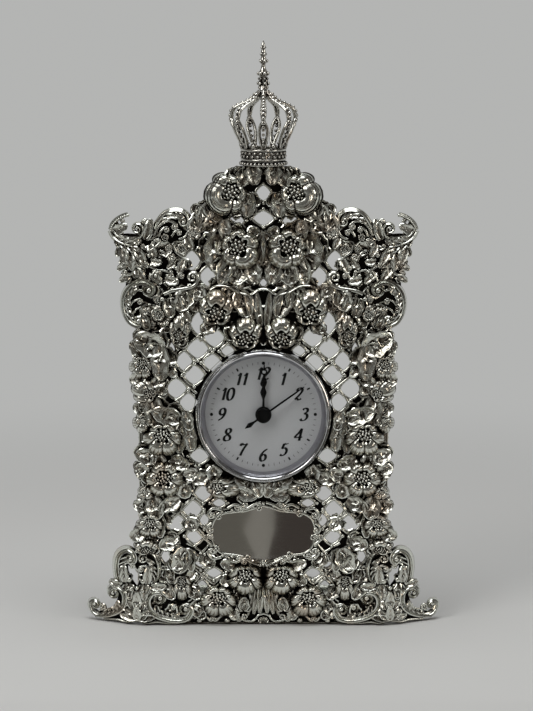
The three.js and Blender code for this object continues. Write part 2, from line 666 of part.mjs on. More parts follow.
function mainPlate() {
  const edge = CUP_INNER - SEAT_GAP;
  const profile = [
    [BUSH_INNER, PLATE_LOW], [edge, PLATE_LOW], [edge, -PLATE_DROP], [BUSH_RADIUS, -PLATE_DROP],
    [BUSH_RADIUS, BUSH_TOP], [BUSH_INNER, BUSH_TOP],
  ];
  let body = turned(profile, ROUND_SIDES);
  for (const [x, y] of SCREW_PLACES) {
    const through = disc(SCREW_HOLE, PLATE_LOW - OVERRUN, OVERRUN - PLATE_DROP);
    body = body.subtract(through.translate([x, y, 0]));
  }
  return body;
}

function caseScrew() {
  const seat = -CUP_DEPTH - SEAT_GAP;
  const profile = [
    [0, seat - SCREW_HEAD_THICK], [SCREW_HEAD_RADIUS, seat - SCREW_HEAD_THICK],
    [SCREW_HEAD_RADIUS, seat], [SCREW_RADIUS, seat], [SCREW_RADIUS, -PLATE_DROP], [0, -PLATE_DROP],
  ];
  return turned(profile, SMALL_SIDES);
}

// Gears: pointed teeth on a pitch circle, with the first tooth at the phase angle
function gearOutline(teeth, size, phase) {
  const pitchRadius = (teeth * size) / 2;
  const points = [];
  for (let tooth = 0; tooth < teeth; tooth += 1) {
    const tip = phase + (2 * Math.PI * tooth) / teeth;
    points.push(polar(pitchRadius + TOOTH_TIP * size, tip));
    points.push(polar(pitchRadius - TOOTH_ROOT * size, tip + Math.PI / teeth));
  }
  return points;
}

function wheelSolid(teeth, size, phase, level) {
  return prism(gearOutline(teeth, size, phase), level - WHEEL_THICK, level);
}

function pinionSolid(teeth, size, phase, level) {
  const low = level - WHEEL_THICK - PINION_EXTRA;
  return prism(gearOutline(teeth, size, phase), low, level + PINION_EXTRA);
}

// Phase of a driven gear whose teeth fall in the gaps of the gear that drives it
function meshPhase(driverTeeth, driverPhase, drivenTeeth, towards) {
  const driverShare = ((towards - driverPhase) * driverTeeth) / (2 * Math.PI);
  return towards + Math.PI - ((0.5 - driverShare) * 2 * Math.PI) / drivenTeeth;
}

function toothSize(distance, first, second) {
  return (2 * distance) / (first + second);
}

const CANNON_SIZE = toothSize(MOTION_DISTANCE, TEETH.cannon, TEETH.motionWheel);
const HOUR_SIZE = toothSize(MOTION_DISTANCE, TEETH.motionPinion, TEETH.hourWheel);
const THIRD_SIZE = toothSize(THIRD_DISTANCE, TEETH.secondsPinion, TEETH.thirdWheel);
const CENTRE_SIZE = toothSize(THIRD_DISTANCE, TEETH.thirdPinion, TEETH.centreWheel);
const SECONDS_SIZE = toothSize(INTERMEDIATE_DISTANCE, TEETH.secondsWheel, TEETH.intermediatePinion);
const ROTOR_SIZE = toothSize(ROTOR_DISTANCE, TEETH.intermediateWheel, TEETH.rotorPinion);

const MOTION_PHASE = meshPhase(TEETH.cannon, 0, TEETH.motionWheel, MOTION_ANGLE);
const HOUR_PHASE = meshPhase(TEETH.motionPinion, 0, TEETH.hourWheel, MOTION_ANGLE + Math.PI);
const THIRD_PHASE = meshPhase(TEETH.secondsPinion, 0, TEETH.thirdWheel, THIRD_ANGLE);
const CENTRE_PHASE = meshPhase(TEETH.thirdPinion, 0, TEETH.centreWheel, THIRD_ANGLE + Math.PI);
const INTERMEDIATE_PHASE = meshPhase(
  TEETH.secondsWheel, 0, TEETH.intermediatePinion, INTERMEDIATE_ANGLE,
);
const ROTOR_PHASE = meshPhase(TEETH.intermediateWheel, 0, TEETH.rotorPinion, ROTOR_ANGLE);

function minutePinion() {
  const collarTop = CENTRE_LEVEL - WHEEL_THICK - RUNNING_GAP;
  const tube = disc(TUBE_RADIUS, collarTop - TUBE_COLLAR, MINUTE_HAND_LOW + HAND_THICK);
  const collar = disc(TUBE_RADIUS + TUBE_WALL, collarTop - TUBE_COLLAR, collarTop);
  const pinion = pinionSolid(TEETH.cannon, CANNON_SIZE, 0, MOTION_LEVEL);
  const bore = disc(TUBE_INNER, CUP_FLOOR, BEZEL_TOP);
  return tube.add(collar).add(pinion).subtract(bore);
}

function hourWheel() {
  const pipe = disc(PIPE_RADIUS, HOUR_LEVEL - WHEEL_THICK, HOUR_HAND_LOW + HAND_THICK);
  const wheel = wheelSolid(TEETH.hourWheel, HOUR_SIZE, HOUR_PHASE, HOUR_LEVEL);
  return pipe.add(wheel).subtract(disc(PIPE_INNER, CUP_FLOOR, BEZEL_TOP));
}

function motionWheel() {
  const tail = -CUP_DEPTH - SEAT_GAP - KNOB_SOCKET + RELIEF_GAP;
  const arbor = disc(SETTING_ARBOR_RADIUS, tail, ARBOR_TOP);
  const wheel = wheelSolid(TEETH.motionWheel, CANNON_SIZE, MOTION_PHASE, MOTION_LEVEL);
  return arbor.add(wheel).add(pinionSolid(TEETH.motionPinion, HOUR_SIZE, 0, HOUR_LEVEL));
}

function settingKnob() {
  const top = -CUP_DEPTH - SEAT_GAP;
  const grip = prism(gearOutline(2 * SMALL_SIDES, KNOB_RADIUS / SMALL_SIDES, 0), top - KNOB_THICK, top);
  return grip.subtract(disc(SETTING_ARBOR_RADIUS + SEAT_GAP, top - KNOB_SOCKET, top + OVERRUN));
}

function secondsWheel() {
  const arbor = disc(ARBOR_RADIUS, ARBOR_LOW, SECOND_HAND_LOW + HAND_THICK);
  const wheel = wheelSolid(TEETH.secondsWheel, SECONDS_SIZE, 0, SECONDS_LEVEL);
  return arbor.add(wheel).add(pinionSolid(TEETH.secondsPinion, THIRD_SIZE, 0, THIRD_LEVEL));
}

function thirdWheel() {
  const wheel = wheelSolid(TEETH.thirdWheel, THIRD_SIZE, THIRD_PHASE, THIRD_LEVEL);
  const pinion = pinionSolid(TEETH.thirdPinion, CENTRE_SIZE, 0, CENTRE_LEVEL);
  return disc(ARBOR_RADIUS, ARBOR_LOW, ARBOR_TOP).add(wheel).add(pinion);
}

function centreWheel() {
  const wheel = wheelSolid(TEETH.centreWheel, CENTRE_SIZE, CENTRE_PHASE, CENTRE_LEVEL);
  return wheel.subtract(disc(TUBE_RADIUS + RUNNING_GAP, CUP_FLOOR, 0));
}

function intermediateWheel() {
  const wheel = wheelSolid(TEETH.intermediateWheel, ROTOR_SIZE, 0, INTERMEDIATE_LEVEL);
  const pinion = pinionSolid(
    TEETH.intermediatePinion, SECONDS_SIZE, INTERMEDIATE_PHASE, SECONDS_LEVEL,
  );
  return disc(ARBOR_RADIUS, ARBOR_LOW, ARBOR_TOP).add(wheel).add(pinion);
}

function rotor() {
  const magnet = disc(MAGNET_RADIUS, ARBOR_LOW, MAGNET_LEVEL);
  const pinion = pinionSolid(TEETH.rotorPinion, ROTOR_SIZE, ROTOR_PHASE, INTERMEDIATE_LEVEL);
  return disc(ARBOR_RADIUS, ARBOR_LOW, ARBOR_TOP).add(magnet).add(pinion);
}

// Motor and power: stator, coil, circuit board, crystal, battery and its contacts
const COIL_X = ROTOR_AT[0] + MAGNET_RADIUS + RELIEF_GAP + COIL_RADIUS + COIL_CHEEK;
const STATOR_TOP = ARBOR_LOW + STATOR_THICK;

function stator() {
  const reach = COIL_LENGTH / 2;
  const edge = COIL_X + COIL_RADIUS / 2;
  const near = ROTOR_AT[0] - 2 * MAGNET_RADIUS;
  const points = [
    [edge, ROTOR_AT[1] - reach], [edge, ROTOR_AT[1] + reach], [COIL_X - COIL_RADIUS, ROTOR_AT[1] + reach],
    [near, ROTOR_AT[1] + 2 * MAGNET_RADIUS], [near, ROTOR_AT[1] - 2 * MAGNET_RADIUS],
    [COIL_X - COIL_RADIUS, ROTOR_AT[1] - reach],
  ];
  const room = disc(MAGNET_RADIUS + RELIEF_GAP, CUP_FLOOR, 0).translate([...ROTOR_AT, 0]);
  return prism(points, ARBOR_LOW, STATOR_TOP).subtract(room);
}

function coil() {
  const half = COIL_LENGTH / 2;
  const core = COIL_RADIUS - COIL_CHEEK / 2;
  const profile = [
    [0, -half], [COIL_RADIUS, -half], [COIL_RADIUS, COIL_CHEEK - half], [core, COIL_CHEEK - half],
    [core, half - COIL_CHEEK], [COIL_RADIUS, half - COIL_CHEEK], [COIL_RADIUS, half], [0, half],
  ];
  const lift = STATOR_TOP + SEAT_GAP + COIL_RADIUS;
  return turned(profile, SMALL_SIDES).rotate([-90, 0, 0]).translate([COIL_X, ROTOR_AT[1], lift]);
}

function circuitBoard() {
  const points = [[-20, 9], [2, 9], [2, 22], [-12, 22], [-20, 16]];
  return prism(points, ARBOR_LOW, ARBOR_LOW + BOARD_THICK);
}

function quartzCrystal() {
  const can = disc(CRYSTAL_RADIUS, 0, CRYSTAL_LENGTH).rotate([0, 90, 0]);
  const lift = ARBOR_LOW + BOARD_THICK + SEAT_GAP + CRYSTAL_RADIUS;
  return can.translate([-CRYSTAL_LENGTH - CRYSTAL_RADIUS, 17, lift]);
}

function battery() {
  const top = BATTERY_LOW + BATTERY_THICK;
  const cap = BATTERY_RADIUS * 0.8;
  const shoulder = top - LEVEL_GAP;
  const profile = [
    [0, BATTERY_LOW], [BATTERY_RADIUS, BATTERY_LOW], [BATTERY_RADIUS, shoulder],
    [cap, shoulder], [cap, top], [0, top],
  ];
  return turned(profile, 2 * SMALL_SIDES).translate([...BATTERY_AT, 0]);
}

function upperContact() {
  const low = BATTERY_LOW + BATTERY_THICK + SEAT_GAP;
  const [x, y] = BATTERY_AT;
  const reach = BATTERY_RADIUS * 0.7;
  return block(x - reach, x + reach, y - CONTACT_THICK * 4, y + CONTACT_THICK * 4, low, low + CONTACT_THICK);
}

function sideContact() {
  const [x, y] = BATTERY_AT;
  const near = y + BATTERY_RADIUS + SEAT_GAP;
  const reach = BATTERY_RADIUS / 2;
  return block(x - reach, x + reach, near, near + CONTACT_THICK, BATTERY_LOW, BATTERY_LOW + BATTERY_THICK);
}

function batteryHatch() {
  const seat = -CUP_DEPTH - SEAT_GAP;
  const outerFace = seat - HATCH_FLANGE_THICK;
  const rim = HATCH_HOLE + HATCH_FLANGE;
  const profile = [
    [0, outerFace], [rim, outerFace], [rim, seat], [HATCH_RADIUS, seat],
    [HATCH_RADIUS, ARBOR_LOW], [0, ARBOR_LOW],
  ];
  const body = turned(profile, 2 * SMALL_SIDES);
  const slot = block(
    -BATTERY_RADIUS, BATTERY_RADIUS, -COIN_SLOT / 2, COIN_SLOT / 2,
    outerFace - OVERRUN, outerFace + HATCH_FLANGE_THICK,
  );
  return body.subtract(slot).translate([...BATTERY_AT, 0]);
}

// Hands, drawn pointing to twelve from half outlines of [half width, distance from the arbor]
function handSolid(half, low) {
  return prism([...half, ...mirrored(half)], low, low + HAND_THICK);
}

function eyeRing(distance, low) {
  return ring(RING_INNER, RING_OUTER, low, low + HAND_THICK, SMALL_SIDES).translate([0, distance, 0]);
}

function handHub(arborRadius, low) {
  const inner = arborRadius + SEAT_GAP;
  return ring(inner, inner + HUB_RIM, low, low + HAND_THICK, 2 * SMALL_SIDES);
}

function hourHand() {
  const low = HOUR_HAND_LOW;
  const start = PIPE_RADIUS + SEAT_GAP + HUB_RIM / 2;
  const eye = HOUR_HAND_LENGTH * 0.8;
  const stem = [
    [0.7, start], [0.5, eye * 0.5], [1.7, eye * 0.72], [0.5, eye - RING_OUTER + RELIEF_GAP],
  ];
  const tip = [[0.6, eye + RING_OUTER - RELIEF_GAP], [0.1, HOUR_HAND_LENGTH]];
  const body = handHub(PIPE_RADIUS, low).add(eyeRing(eye, low));
  return body.add(handSolid(stem, low)).add(handSolid(tip, low));
}

function minuteHand() {
  const low = MINUTE_HAND_LOW;
  const start = TUBE_RADIUS + SEAT_GAP + HUB_RIM / 2;
  const eye = MINUTE_HAND_LENGTH * 0.82;
  const stem = [[0.6, start], [0.35, eye * 0.6], [0.4, eye - RING_OUTER + RELIEF_GAP]];
  const tip = [[0.5, eye + RING_OUTER - RELIEF_GAP], [0.1, MINUTE_HAND_LENGTH]];
  const body = handHub(TUBE_RADIUS, low).add(eyeRing(eye, low));
  const hand = body.add(handSolid(stem, low)).add(handSolid(tip, low));
  return hand.rotate([0, 0, -REST_SECONDS / 10]);
}

function secondHand() {
  const low = SECOND_HAND_LOW;
  const top = low + SECOND_HUB_THICK;
  const socket = ARBOR_RADIUS + SEAT_GAP;
  const roof = low + HAND_THICK + SEAT_GAP;
  const profile = [
    [0, roof], [socket, roof], [socket, low], [SECOND_HUB_RADIUS, low],
    [SECOND_HUB_RADIUS, top - SEAT_GAP], [SECOND_HUB_RADIUS - SEAT_GAP, top], [0, top],
  ];
  const inHub = SECOND_HUB_RADIUS - HUB_RIM;
  const needle = [[0.5, inHub], [0.12, SECOND_HAND_LENGTH]];
  const tail = [
    [0.1, -SECOND_TAIL_LENGTH], [1.3, -SECOND_TAIL_LENGTH * 0.75], [0.5, -SECOND_TAIL_LENGTH * 0.5],
    [0.5, -inHub],
  ];
  const hand = turned(profile, 2 * SMALL_SIDES).add(handSolid(needle, low)).add(handSolid(tail, low));
  return hand.rotate([0, 0, -REST_SECONDS * 6]);
}

// Assembly: the case
addPiece("front_panel", "silver", frontPanel());
const sideBody = sidePanel();
const rearFootBody = rearFoot();
const footBody = foldedOrnament(FOOT_HALF, FOOT_HALF, FOOT_RODS, 0);
const bracketBody = foldedOrnament(BRACKET_INNER, BRACKET_OUTER, BRACKET_RODS, BRACKET_ROOT);
const cornerPairs = {
  side_panel: sideBody, rear_foot: rearFootBody, front_foot: footBody, upper_bracket: bracketBody,
};
for (const [name, body] of Object.entries(cornerPairs)) {
  addPiece(`right_${name}`, "silver", body);
  addPiece(`left_${name}`, "silver", flipped(body));
}
addPiece("lower_back_rail", "silver", backRail(RAIL_INSET));
addPiece("upper_back_rail", "silver", backRail(SHOULDER_HEIGHT - RAIL_HEIGHT - RAIL_INSET));
const collarTop = PANEL_BACK - SEAT_GAP;
const collarBody = ring(BORE_RADIUS, COLLAR_RADIUS, collarTop - COLLAR_DEPTH, collarTop);
addPiece("dial_collar", "silver", atDial(collarBody));
addPiece("nameplate_frame", "silver", nameplateFrame());
addPiece("nameplate", "polished", nameplate());

// Assembly: the crown
const seatProfile = [
  [0, 0], [CROWN_SEAT_RADIUS, 0], [CROWN_SEAT_RADIUS, CROWN_SEAT_THICK], [0, CROWN_SEAT_THICK],
];
addPiece("crown_seat", "silver", upright(seatProfile, 2 * SMALL_SIDES, SEAT_LOW));
const strapTop = PANEL_BACK - SEAT_GAP;
addPiece("crown_strap", "silver", block(
  -STRAP_HALF_WIDTH, STRAP_HALF_WIDTH, PANEL_TOP - STRAP_DROP, PANEL_TOP,
  strapTop - STRAP_THICK, strapTop,
));
addPiece("crown_band", "silver", crownBand());
for (let index = 0; index < ARCH_COUNT; index += 1) {
  addPiece(`crown_arch_${index + 1}`, "silver", crownArch(index));
}
addPiece("crown_boss", "silver", crownBoss());
addPiece("crown_spire", "silver", crownSpire());

// Assembly: the clock insert
addPiece("bezel", "chrome", atDial(bezel()));
addPiece("lens", "glass", atDial(lens()));
addPiece("dial_ring", "chrome", atDial(dialRing()));
addPiece("dial", "paper", atDial(ring(BUSH_RADIUS + SEAT_GAP, FLANGE_RADIUS, DIAL_LOW, DIAL_TOP)));
addPiece("cup", "plastic", atDial(cup()));
const gasketTop = PANEL_BACK - SEAT_GAP - OVERRUN;
addPiece("gasket", "rubber", atDial(ring(GASKET_INNER, GASKET_OUTER, gasketTop - GASKET_WIDTH, gasketTop)));
addPiece("main_plate", "plastic", atDial(mainPlate()));
SCREW_PLACES.forEach(([x, y], index) => {
  addPiece(`case_screw_${index + 1}`, "steel", atDial(caseScrew(), x, y));
});
addPiece("stator", "steel", atDial(stator()));
addPiece("coil", "copper", atDial(coil()));
addPiece("circuit_board", "board", atDial(circuitBoard()));
addPiece("quartz_crystal", "steel", atDial(quartzCrystal()));
addPiece("battery", "steel", atDial(battery()));
addPiece("upper_contact", "brass", atDial(upperContact()));
addPiece("side_contact", "brass", atDial(sideContact()));
addPiece("battery_hatch", "plastic", atDial(batteryHatch()));

// Assembly: the wheels and the hands
addPiece("rotor", "steel", atDial(rotor(), ...ROTOR_AT));
addPiece("intermediate_wheel", "brass", atDial(intermediateWheel(), ...INTERMEDIATE_AT));
addPiece("third_wheel", "brass", atDial(thirdWheel(), ...THIRD_AT));
addPiece("centre_wheel", "brass", atDial(centreWheel()));
addPiece("seconds_wheel", "brass", atDial(secondsWheel()));
addPiece("minute_pinion", "brass", atDial(minutePinion()));
addPiece("motion_wheel", "brass", atDial(motionWheel(), ...MOTION_AT));
addPiece("setting_knob", "plastic", atDial(settingKnob(), ...MOTION_AT));
addPiece("hour_wheel", "brass", atDial(hourWheel()));
addPiece("hour_hand", "ink", atDial(hourHand()));
addPiece("minute_hand", "ink", atDial(minuteHand()));
addPiece("second_hand", "ink", atDial(secondHand()));

// The face axes turned upright, set over the middle of the footprint
face.rotation.x = Math.PI / 2;
face.position.y = (FRONT_REACH - BACK_REACH) / 2;
const clock = new THREE.Group();
clock.add(face);

export default clock;
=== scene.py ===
import math

import bmesh
import bpy
from mathutils import Matrix, Vector


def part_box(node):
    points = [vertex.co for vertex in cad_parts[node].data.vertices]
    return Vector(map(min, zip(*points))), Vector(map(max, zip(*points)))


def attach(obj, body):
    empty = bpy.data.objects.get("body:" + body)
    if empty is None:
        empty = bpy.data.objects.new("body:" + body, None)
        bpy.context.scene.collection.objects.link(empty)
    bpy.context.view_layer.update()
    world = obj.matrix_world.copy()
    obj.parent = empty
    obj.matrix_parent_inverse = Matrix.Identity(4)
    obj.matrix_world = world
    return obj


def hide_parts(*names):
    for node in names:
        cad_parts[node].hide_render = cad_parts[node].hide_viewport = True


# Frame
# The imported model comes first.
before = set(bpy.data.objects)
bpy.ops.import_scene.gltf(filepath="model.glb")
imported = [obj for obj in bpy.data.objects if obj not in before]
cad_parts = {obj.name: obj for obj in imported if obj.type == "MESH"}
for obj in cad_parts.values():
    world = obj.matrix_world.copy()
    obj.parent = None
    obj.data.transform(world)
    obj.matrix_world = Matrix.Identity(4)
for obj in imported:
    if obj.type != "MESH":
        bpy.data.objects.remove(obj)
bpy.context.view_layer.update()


# Front panel
# A cast silver plate pierced with diamond openings, each one edged with a raised round wire.
# The silver is darkened in its hollows with a black and brown patina and rubbed bright on every raised place.
# Painted shade darkens cups, grooves and the plate's front on top of the patina, and the brown and warm tints
# are partly painted reflection.
class Tone:
    def __init__(self, tree, socket=None):
        self.tree = tree
        self.socket = socket

    def node(self, kind, settings=None, inputs=None, output=0):
        made = self.tree.nodes.new(kind)
        for key, value in (settings or {}).items():
            setattr(made, key, value)
        for key, value in (inputs or {}).items():
            if isinstance(value, Tone):
                self.tree.links.new(value.socket, made.inputs[key])
            else:
                made.inputs[key].default_value = value
        return Tone(self.tree, made.outputs[output])

    def maths(self, operation, first, second=0.0):
        return self.node("ShaderNodeMath", {"operation": operation}, {0: first, 1: second})

    def __add__(self, other):
        return self.maths("ADD", self, other)

    def __sub__(self, other):
        return self.maths("SUBTRACT", self, other)

    def __rsub__(self, other):
        return self.maths("SUBTRACT", other, self)

    def __mul__(self, other):
        return self.maths("MULTIPLY", self, other)

    __radd__ = __add__


def start_finish(name):
    material = bpy.data.materials.new(name)
    material.use_nodes = True
    return material, material.node_tree.nodes["Principled BSDF"], Tone(material.node_tree)


def feed(shader, name, value):
    if isinstance(value, Tone):
        value.tree.links.new(value.socket, shader.inputs[name])
    else:
        shader.inputs[name].default_value = value


def blend_colour(tone, share, low, high):
    inputs = {0: share, 6: low, 7: high}
    return tone.node("ShaderNodeMix", {"data_type": "RGBA"}, inputs, output=2)


def between(tone, value, low, high):
    settings = {"interpolation_type": "SMOOTHSTEP"}
    return tone.node("ShaderNodeMapRange", settings, {"Value": value, "From Min": low, "From Max": high})


def object_place(tone):
    return tone.node("ShaderNodeTexCoord", output="Object")


def feed_relief(shader, tone, height, strength, distance):
    relief = {"Height": height, "Strength": strength, "Distance": distance}
    feed(shader, "Normal", tone.node("ShaderNodeBump", inputs=relief))


def noise(tone, place, scale, detail=2.0):
    return tone.node("ShaderNodeTexNoise", inputs={"Vector": place, "Scale": scale, "Detail": detail})


GRAIN_SCALE = 700.0
CLOUD_SCALE = 90.0
TARNISH_AND_REFLECTION_SCALE = 55.0
CREVICE = 0.0016
HOLLOW = 0.006
# Black for patina, and for painted shade in cups, grooves and the plate's front.
PATINA_AND_SHADE_BLACK = (0.010, 0.009, 0.008, 1)
# Warm tint for tarnish, and for painted warm reflection on the bright silver.
WARM_TARNISH_AND_REFLECTION = (0.76, 0.60, 0.50, 1)


def silver_finish(name, light, brown_patina_and_reflection, low, high):
    tarnished_and_reflecting_light = tuple(part * fade for part, fade in zip(light, WARM_TARNISH_AND_REFLECTION))
    material, shader, tone = start_finish(name)
    place = object_place(tone)
    grain = noise(tone, place, GRAIN_SCALE, 4.0)
    cloud = noise(tone, place, CLOUD_SCALE)
    near, far = [
        tone.node("ShaderNodeAmbientOcclusion", {"samples": 6}, {"Distance": reach}, output="AO")
        for reach in (CREVICE, HOLLOW)
    ]
    # The chasing attribute brings painted shade with patina in its first value, and the chased lines in the
    # other two.
    chasing_and_shade_vector = tone.node("ShaderNodeAttribute", {"attribute_name": "chasing_and_shade"}, output="Vector")
    hollow_shade_and_patina, stripe, depth = [
        tone.node("ShaderNodeSeparateXYZ", inputs={0: chasing_and_shade_vector}, output=part) for part in range(3)
    ]
    wave = tone.maths("COSINE", stripe * math.tau)
    line = between(tone, wave, 0.1, -0.95) * depth
    worn = near * 0.5 + far * 0.5 + (grain - 0.5) * 0.15 + (cloud - 0.5) * 0.2
    wear_and_shade_brightness = between(tone, worn - line * 0.7 - hollow_shade_and_patina * 0.6, low, high)
    # Between the black and the bright silver lies a brown tone: brown patina, and partly painted brown
    # reflection.
    patina_and_brown_reflection = blend_colour(tone, between(tone, wear_and_shade_brightness, 0.0, 0.5), PATINA_AND_SHADE_BLACK, brown_patina_and_reflection)
    # Warm patches on the bright silver: tarnish, and also painted warm reflection.
    tarnish_and_reflection_share = between(tone, noise(tone, place, TARNISH_AND_REFLECTION_SCALE), 0.56, 0.72) * 0.6
    light_with_warm_patches = blend_colour(tone, tarnish_and_reflection_share, light, tarnished_and_reflecting_light)
    feed(shader, "Base Color", blend_colour(tone, between(tone, wear_and_shade_brightness, 0.25, 1.0), patina_and_brown_reflection, light_with_warm_patches))
    feed(shader, "Metallic", 1.0)
    feed(shader, "Roughness", 0.42 - wear_and_shade_brightness * 0.27 + grain * 0.05)
    feed_relief(shader, tone, grain * 0.2 - line, 0.6, 0.0005)
    return material


bright_silver = silver_finish("bright_silver", (0.80, 0.82, 0.755, 1), (0.25, 0.205, 0.155, 1), 0.36, 0.92)
plate_silver = silver_finish("plate_silver", (0.50, 0.51, 0.47, 1), (0.16, 0.135, 0.105, 1), 0.40, 1.0)

MM = 0.001
PANEL_THICK = 2.5
PANEL_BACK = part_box("front_panel")[1][1] / MM
PANEL_FACE = PANEL_BACK - PANEL_THICK
FOLD_X = 66.0
BEAD_FINENESS = 2
FOLD_SLOPE = math.tan(math.radians(28))


def spot(u, v, height):
    behind = max(0.0, abs(u) - FOLD_X) * FOLD_SLOPE
    return Vector((u, PANEL_FACE - height + behind, v))


# Every shape carries the chasing attribute: painted shade with patina first, then chased-line phase and
# depth.
def new_shape():
    shape = bmesh.new()
    shape.verts.layers.float_vector.new("chasing_and_shade")
    return shape


def shape_object(shape, name):
    mesh = bpy.data.meshes.new(name)
    shape.to_mesh(mesh)
    shape.free()
    made = bpy.data.objects.new(name, mesh)
    bpy.context.scene.collection.objects.link(made)
    return made


def settle(shape, name, finish, body="case", stands_for=(), crease=50):
    bmesh.ops.scale(shape, vec=(MM, MM, MM), verts=shape.verts)
    piece = shape_object(shape, name)
    piece.data.shade_smooth()
    piece.data.set_sharp_from_angle(angle=math.radians(crease))
    piece.data.materials.append(finish)
    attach(piece, body)
    if stands_for:
        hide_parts(*stands_for)


def mirror_copy(shape):
    other = shape.copy()
    bmesh.ops.scale(other, vec=(-1, 1, 1), verts=other.verts)
    bmesh.ops.reverse_faces(other, faces=other.faces)
    return other


def settle_pair(shape, name, finish, stands_for=()):
    left = mirror_copy(shape)
    settle(shape, "right_" + name, finish, stands_for=["right_" + node for node in stands_for])
    settle(left, "left_" + name, finish, stands_for=["left_" + node for node in stands_for])


def add_curve(shape, curve, place=None):
    holder = bpy.data.objects.new("shaping", curve)
    bpy.context.scene.collection.objects.link(holder)
    ready = holder.evaluated_get(bpy.context.evaluated_depsgraph_get())
    mesh = bpy.data.meshes.new_from_object(ready)
    if place:
        mesh.transform(place)
    shape.from_mesh(mesh)
    bpy.data.objects.remove(holder)
    bpy.data.curves.remove(curve)
    bpy.data.meshes.remove(mesh)


def add_splines(curve, strands, closed):
    for strand in strands:
        spline = curve.splines.new("POLY")
        spline.points.add(len(strand) - 1)
        for point, (corner, radius) in zip(spline.points, strand):
            point.co = (*corner, 1)
            point.radius = radius
        spline.use_cyclic_u = closed


def add_wires(shape, strands, closed=False, fineness=2):
    curve = bpy.data.curves.new("wires", "CURVE")
    curve.dimensions = "3D"
    curve.bevel_depth = 1.0
    curve.bevel_resolution = fineness
    curve.use_fill_caps = True
    add_splines(curve, strands, closed)
    add_curve(shape, curve)


def add_plate(shape, loops, low, high, rim):
    curve = bpy.data.curves.new("plate", "CURVE")
    curve.dimensions = "2D"
    curve.fill_mode = "BOTH"
    curve.extrude = (high - low) / 2 - rim
    curve.bevel_depth = rim
    curve.offset = -rim
    curve.bevel_resolution = 1
    add_splines(curve, [[((u, v, 0), 1) for u, v in loop] for loop in loops], True)
    upright = Matrix.Rotation(math.pi / 2, 4, "X")
    add_curve(shape, curve, Matrix.Translation((0, PANEL_FACE - (low + high) / 2, 0)) @ upright)


def add_bead(shape, centre, radius):
    place = Matrix.Translation(centre)
    bmesh.ops.create_icosphere(shape, subdivisions=BEAD_FINENESS, radius=radius, matrix=place)


# Darkens the front half of a plate nearly black: patina, and painted shade for the ground seen between the
# relief.
def darken_front(shape):
    chasing_and_shade = shape.verts.layers.float_vector["chasing_and_shade"]
    middle = sum(vert.co.y for vert in shape.verts) / len(shape.verts)
    for vert in shape.verts:
        if vert.co.y < middle:
            vert[chasing_and_shade] = (FRONT_PATINA_AND_SHADE, 0, 0)


DIAMOND_POWER = 1.4


def rounded_diamond(u, v, wide, tall, count=28):
    loop = []
    for step in range(count):
        angle = math.tau * step / count
        reach = abs(math.cos(angle) / wide) ** DIAMOND_POWER + abs(math.sin(angle) / tall) ** DIAMOND_POWER
        size = reach ** (-1 / DIAMOND_POWER)
        loop.append((u + size * math.cos(angle), v + size * math.sin(angle)))
    return loop


OPENINGS = [
    (33.7, 159.5, 3.6, 5.6), (25.4, 151.9, 4.9, 4.5), (34.0, 146.2, 5.2, 4.8), (18.3, 145.0, 3.2, 2.8),
    (41.0, 139.6, 3.9, 4.8), (26.4, 138.9, 4.4, 4.2), (35.8, 132.4, 4.9, 4.7), (45.2, 125.3, 5.1, 4.9),
    (38.9, 118.0, 4.3, 4.5), (33.2, 89.8, 4.7, 3.7), (31.3, 70.0, 4.1, 3.9), (23.2, 64.8, 3.2, 2.0),
    (37.0, 61.4, 4.6, 4.5), (45.4, 53.8, 4.9, 4.7), (30.8, 55.6, 2.2, 3.2), (35.8, 47.2, 4.1, 3.9),
    (51.0, 36.5, 2.2, 3.6), (32.8, 33.4, 3.3, 2.9), (25.9, 27.4, 3.8, 2.5), (32.1, 20.1, 2.8, 3.2),
    (36.8, 192.0, 4.0, 5.0), (28.7, 183.7, 3.9, 4.7), (13.8, 212.7, 3.7, 3.1), (27.5, 208.8, 2.2, 2.4),
    (56.0, 153.5, 2.0, 2.0), (47.4, 146.0, 1.5, 3.4),
]
MIDDLE_OPENINGS = [(0, 227, 3.5, 3.7), (0, 214, 5.0, 3.5), (0, 180.5, 1.7, 2.1)]
DIAL_HEIGHT = 112.0
BORE_RADIUS = 31.6
PANEL_EDGE = [
    (61, 0.4), (61, 205), (36, 206.5), (32, 214), (29, 223), (26, 230), (20, 235.5), (13, 240.6),
]
PLATE_RIM = 0.3
PLATE_SINK = 0.4
OPENING_EASE = 0.3
WIRE_RADIUS = 0.85
WIRE_OUT = 0.9
WIRE_LIFT = 0.1
KNOT_RADIUS = 1.2
KNOT_OUT = 1.4
KNOT_LIFT = 0.6
FRONT_PATINA_AND_SHADE = 1.4


def both_sides(openings):
    return openings + [(-u, v, wide, tall) for u, v, wide, tall in openings]


def circle_loop(u, v, radius, count=64):
    turns = [math.tau * step / count for step in range(count)]
    return [(u + radius * math.cos(turn), v + radius * math.sin(turn)) for turn in turns]


BEZEL_CLEAR = 35.3
CROWDED_FROM = 31.0
CROWDED_TO = 36.4


def clear_bezel(shape):
    squeeze = (CROWDED_TO - BEZEL_CLEAR) / (CROWDED_TO - CROWDED_FROM)
    for vert in shape.verts:
        out = math.hypot(vert.co.x, vert.co.z - DIAL_HEIGHT)
        if out < CROWDED_TO:
            grow = (BEZEL_CLEAR + max(0.0, out - CROWDED_FROM) * squeeze) / out
            vert.co.x *= grow
            vert.co.z = DIAL_HEIGHT + (vert.co.z - DIAL_HEIGHT) * grow


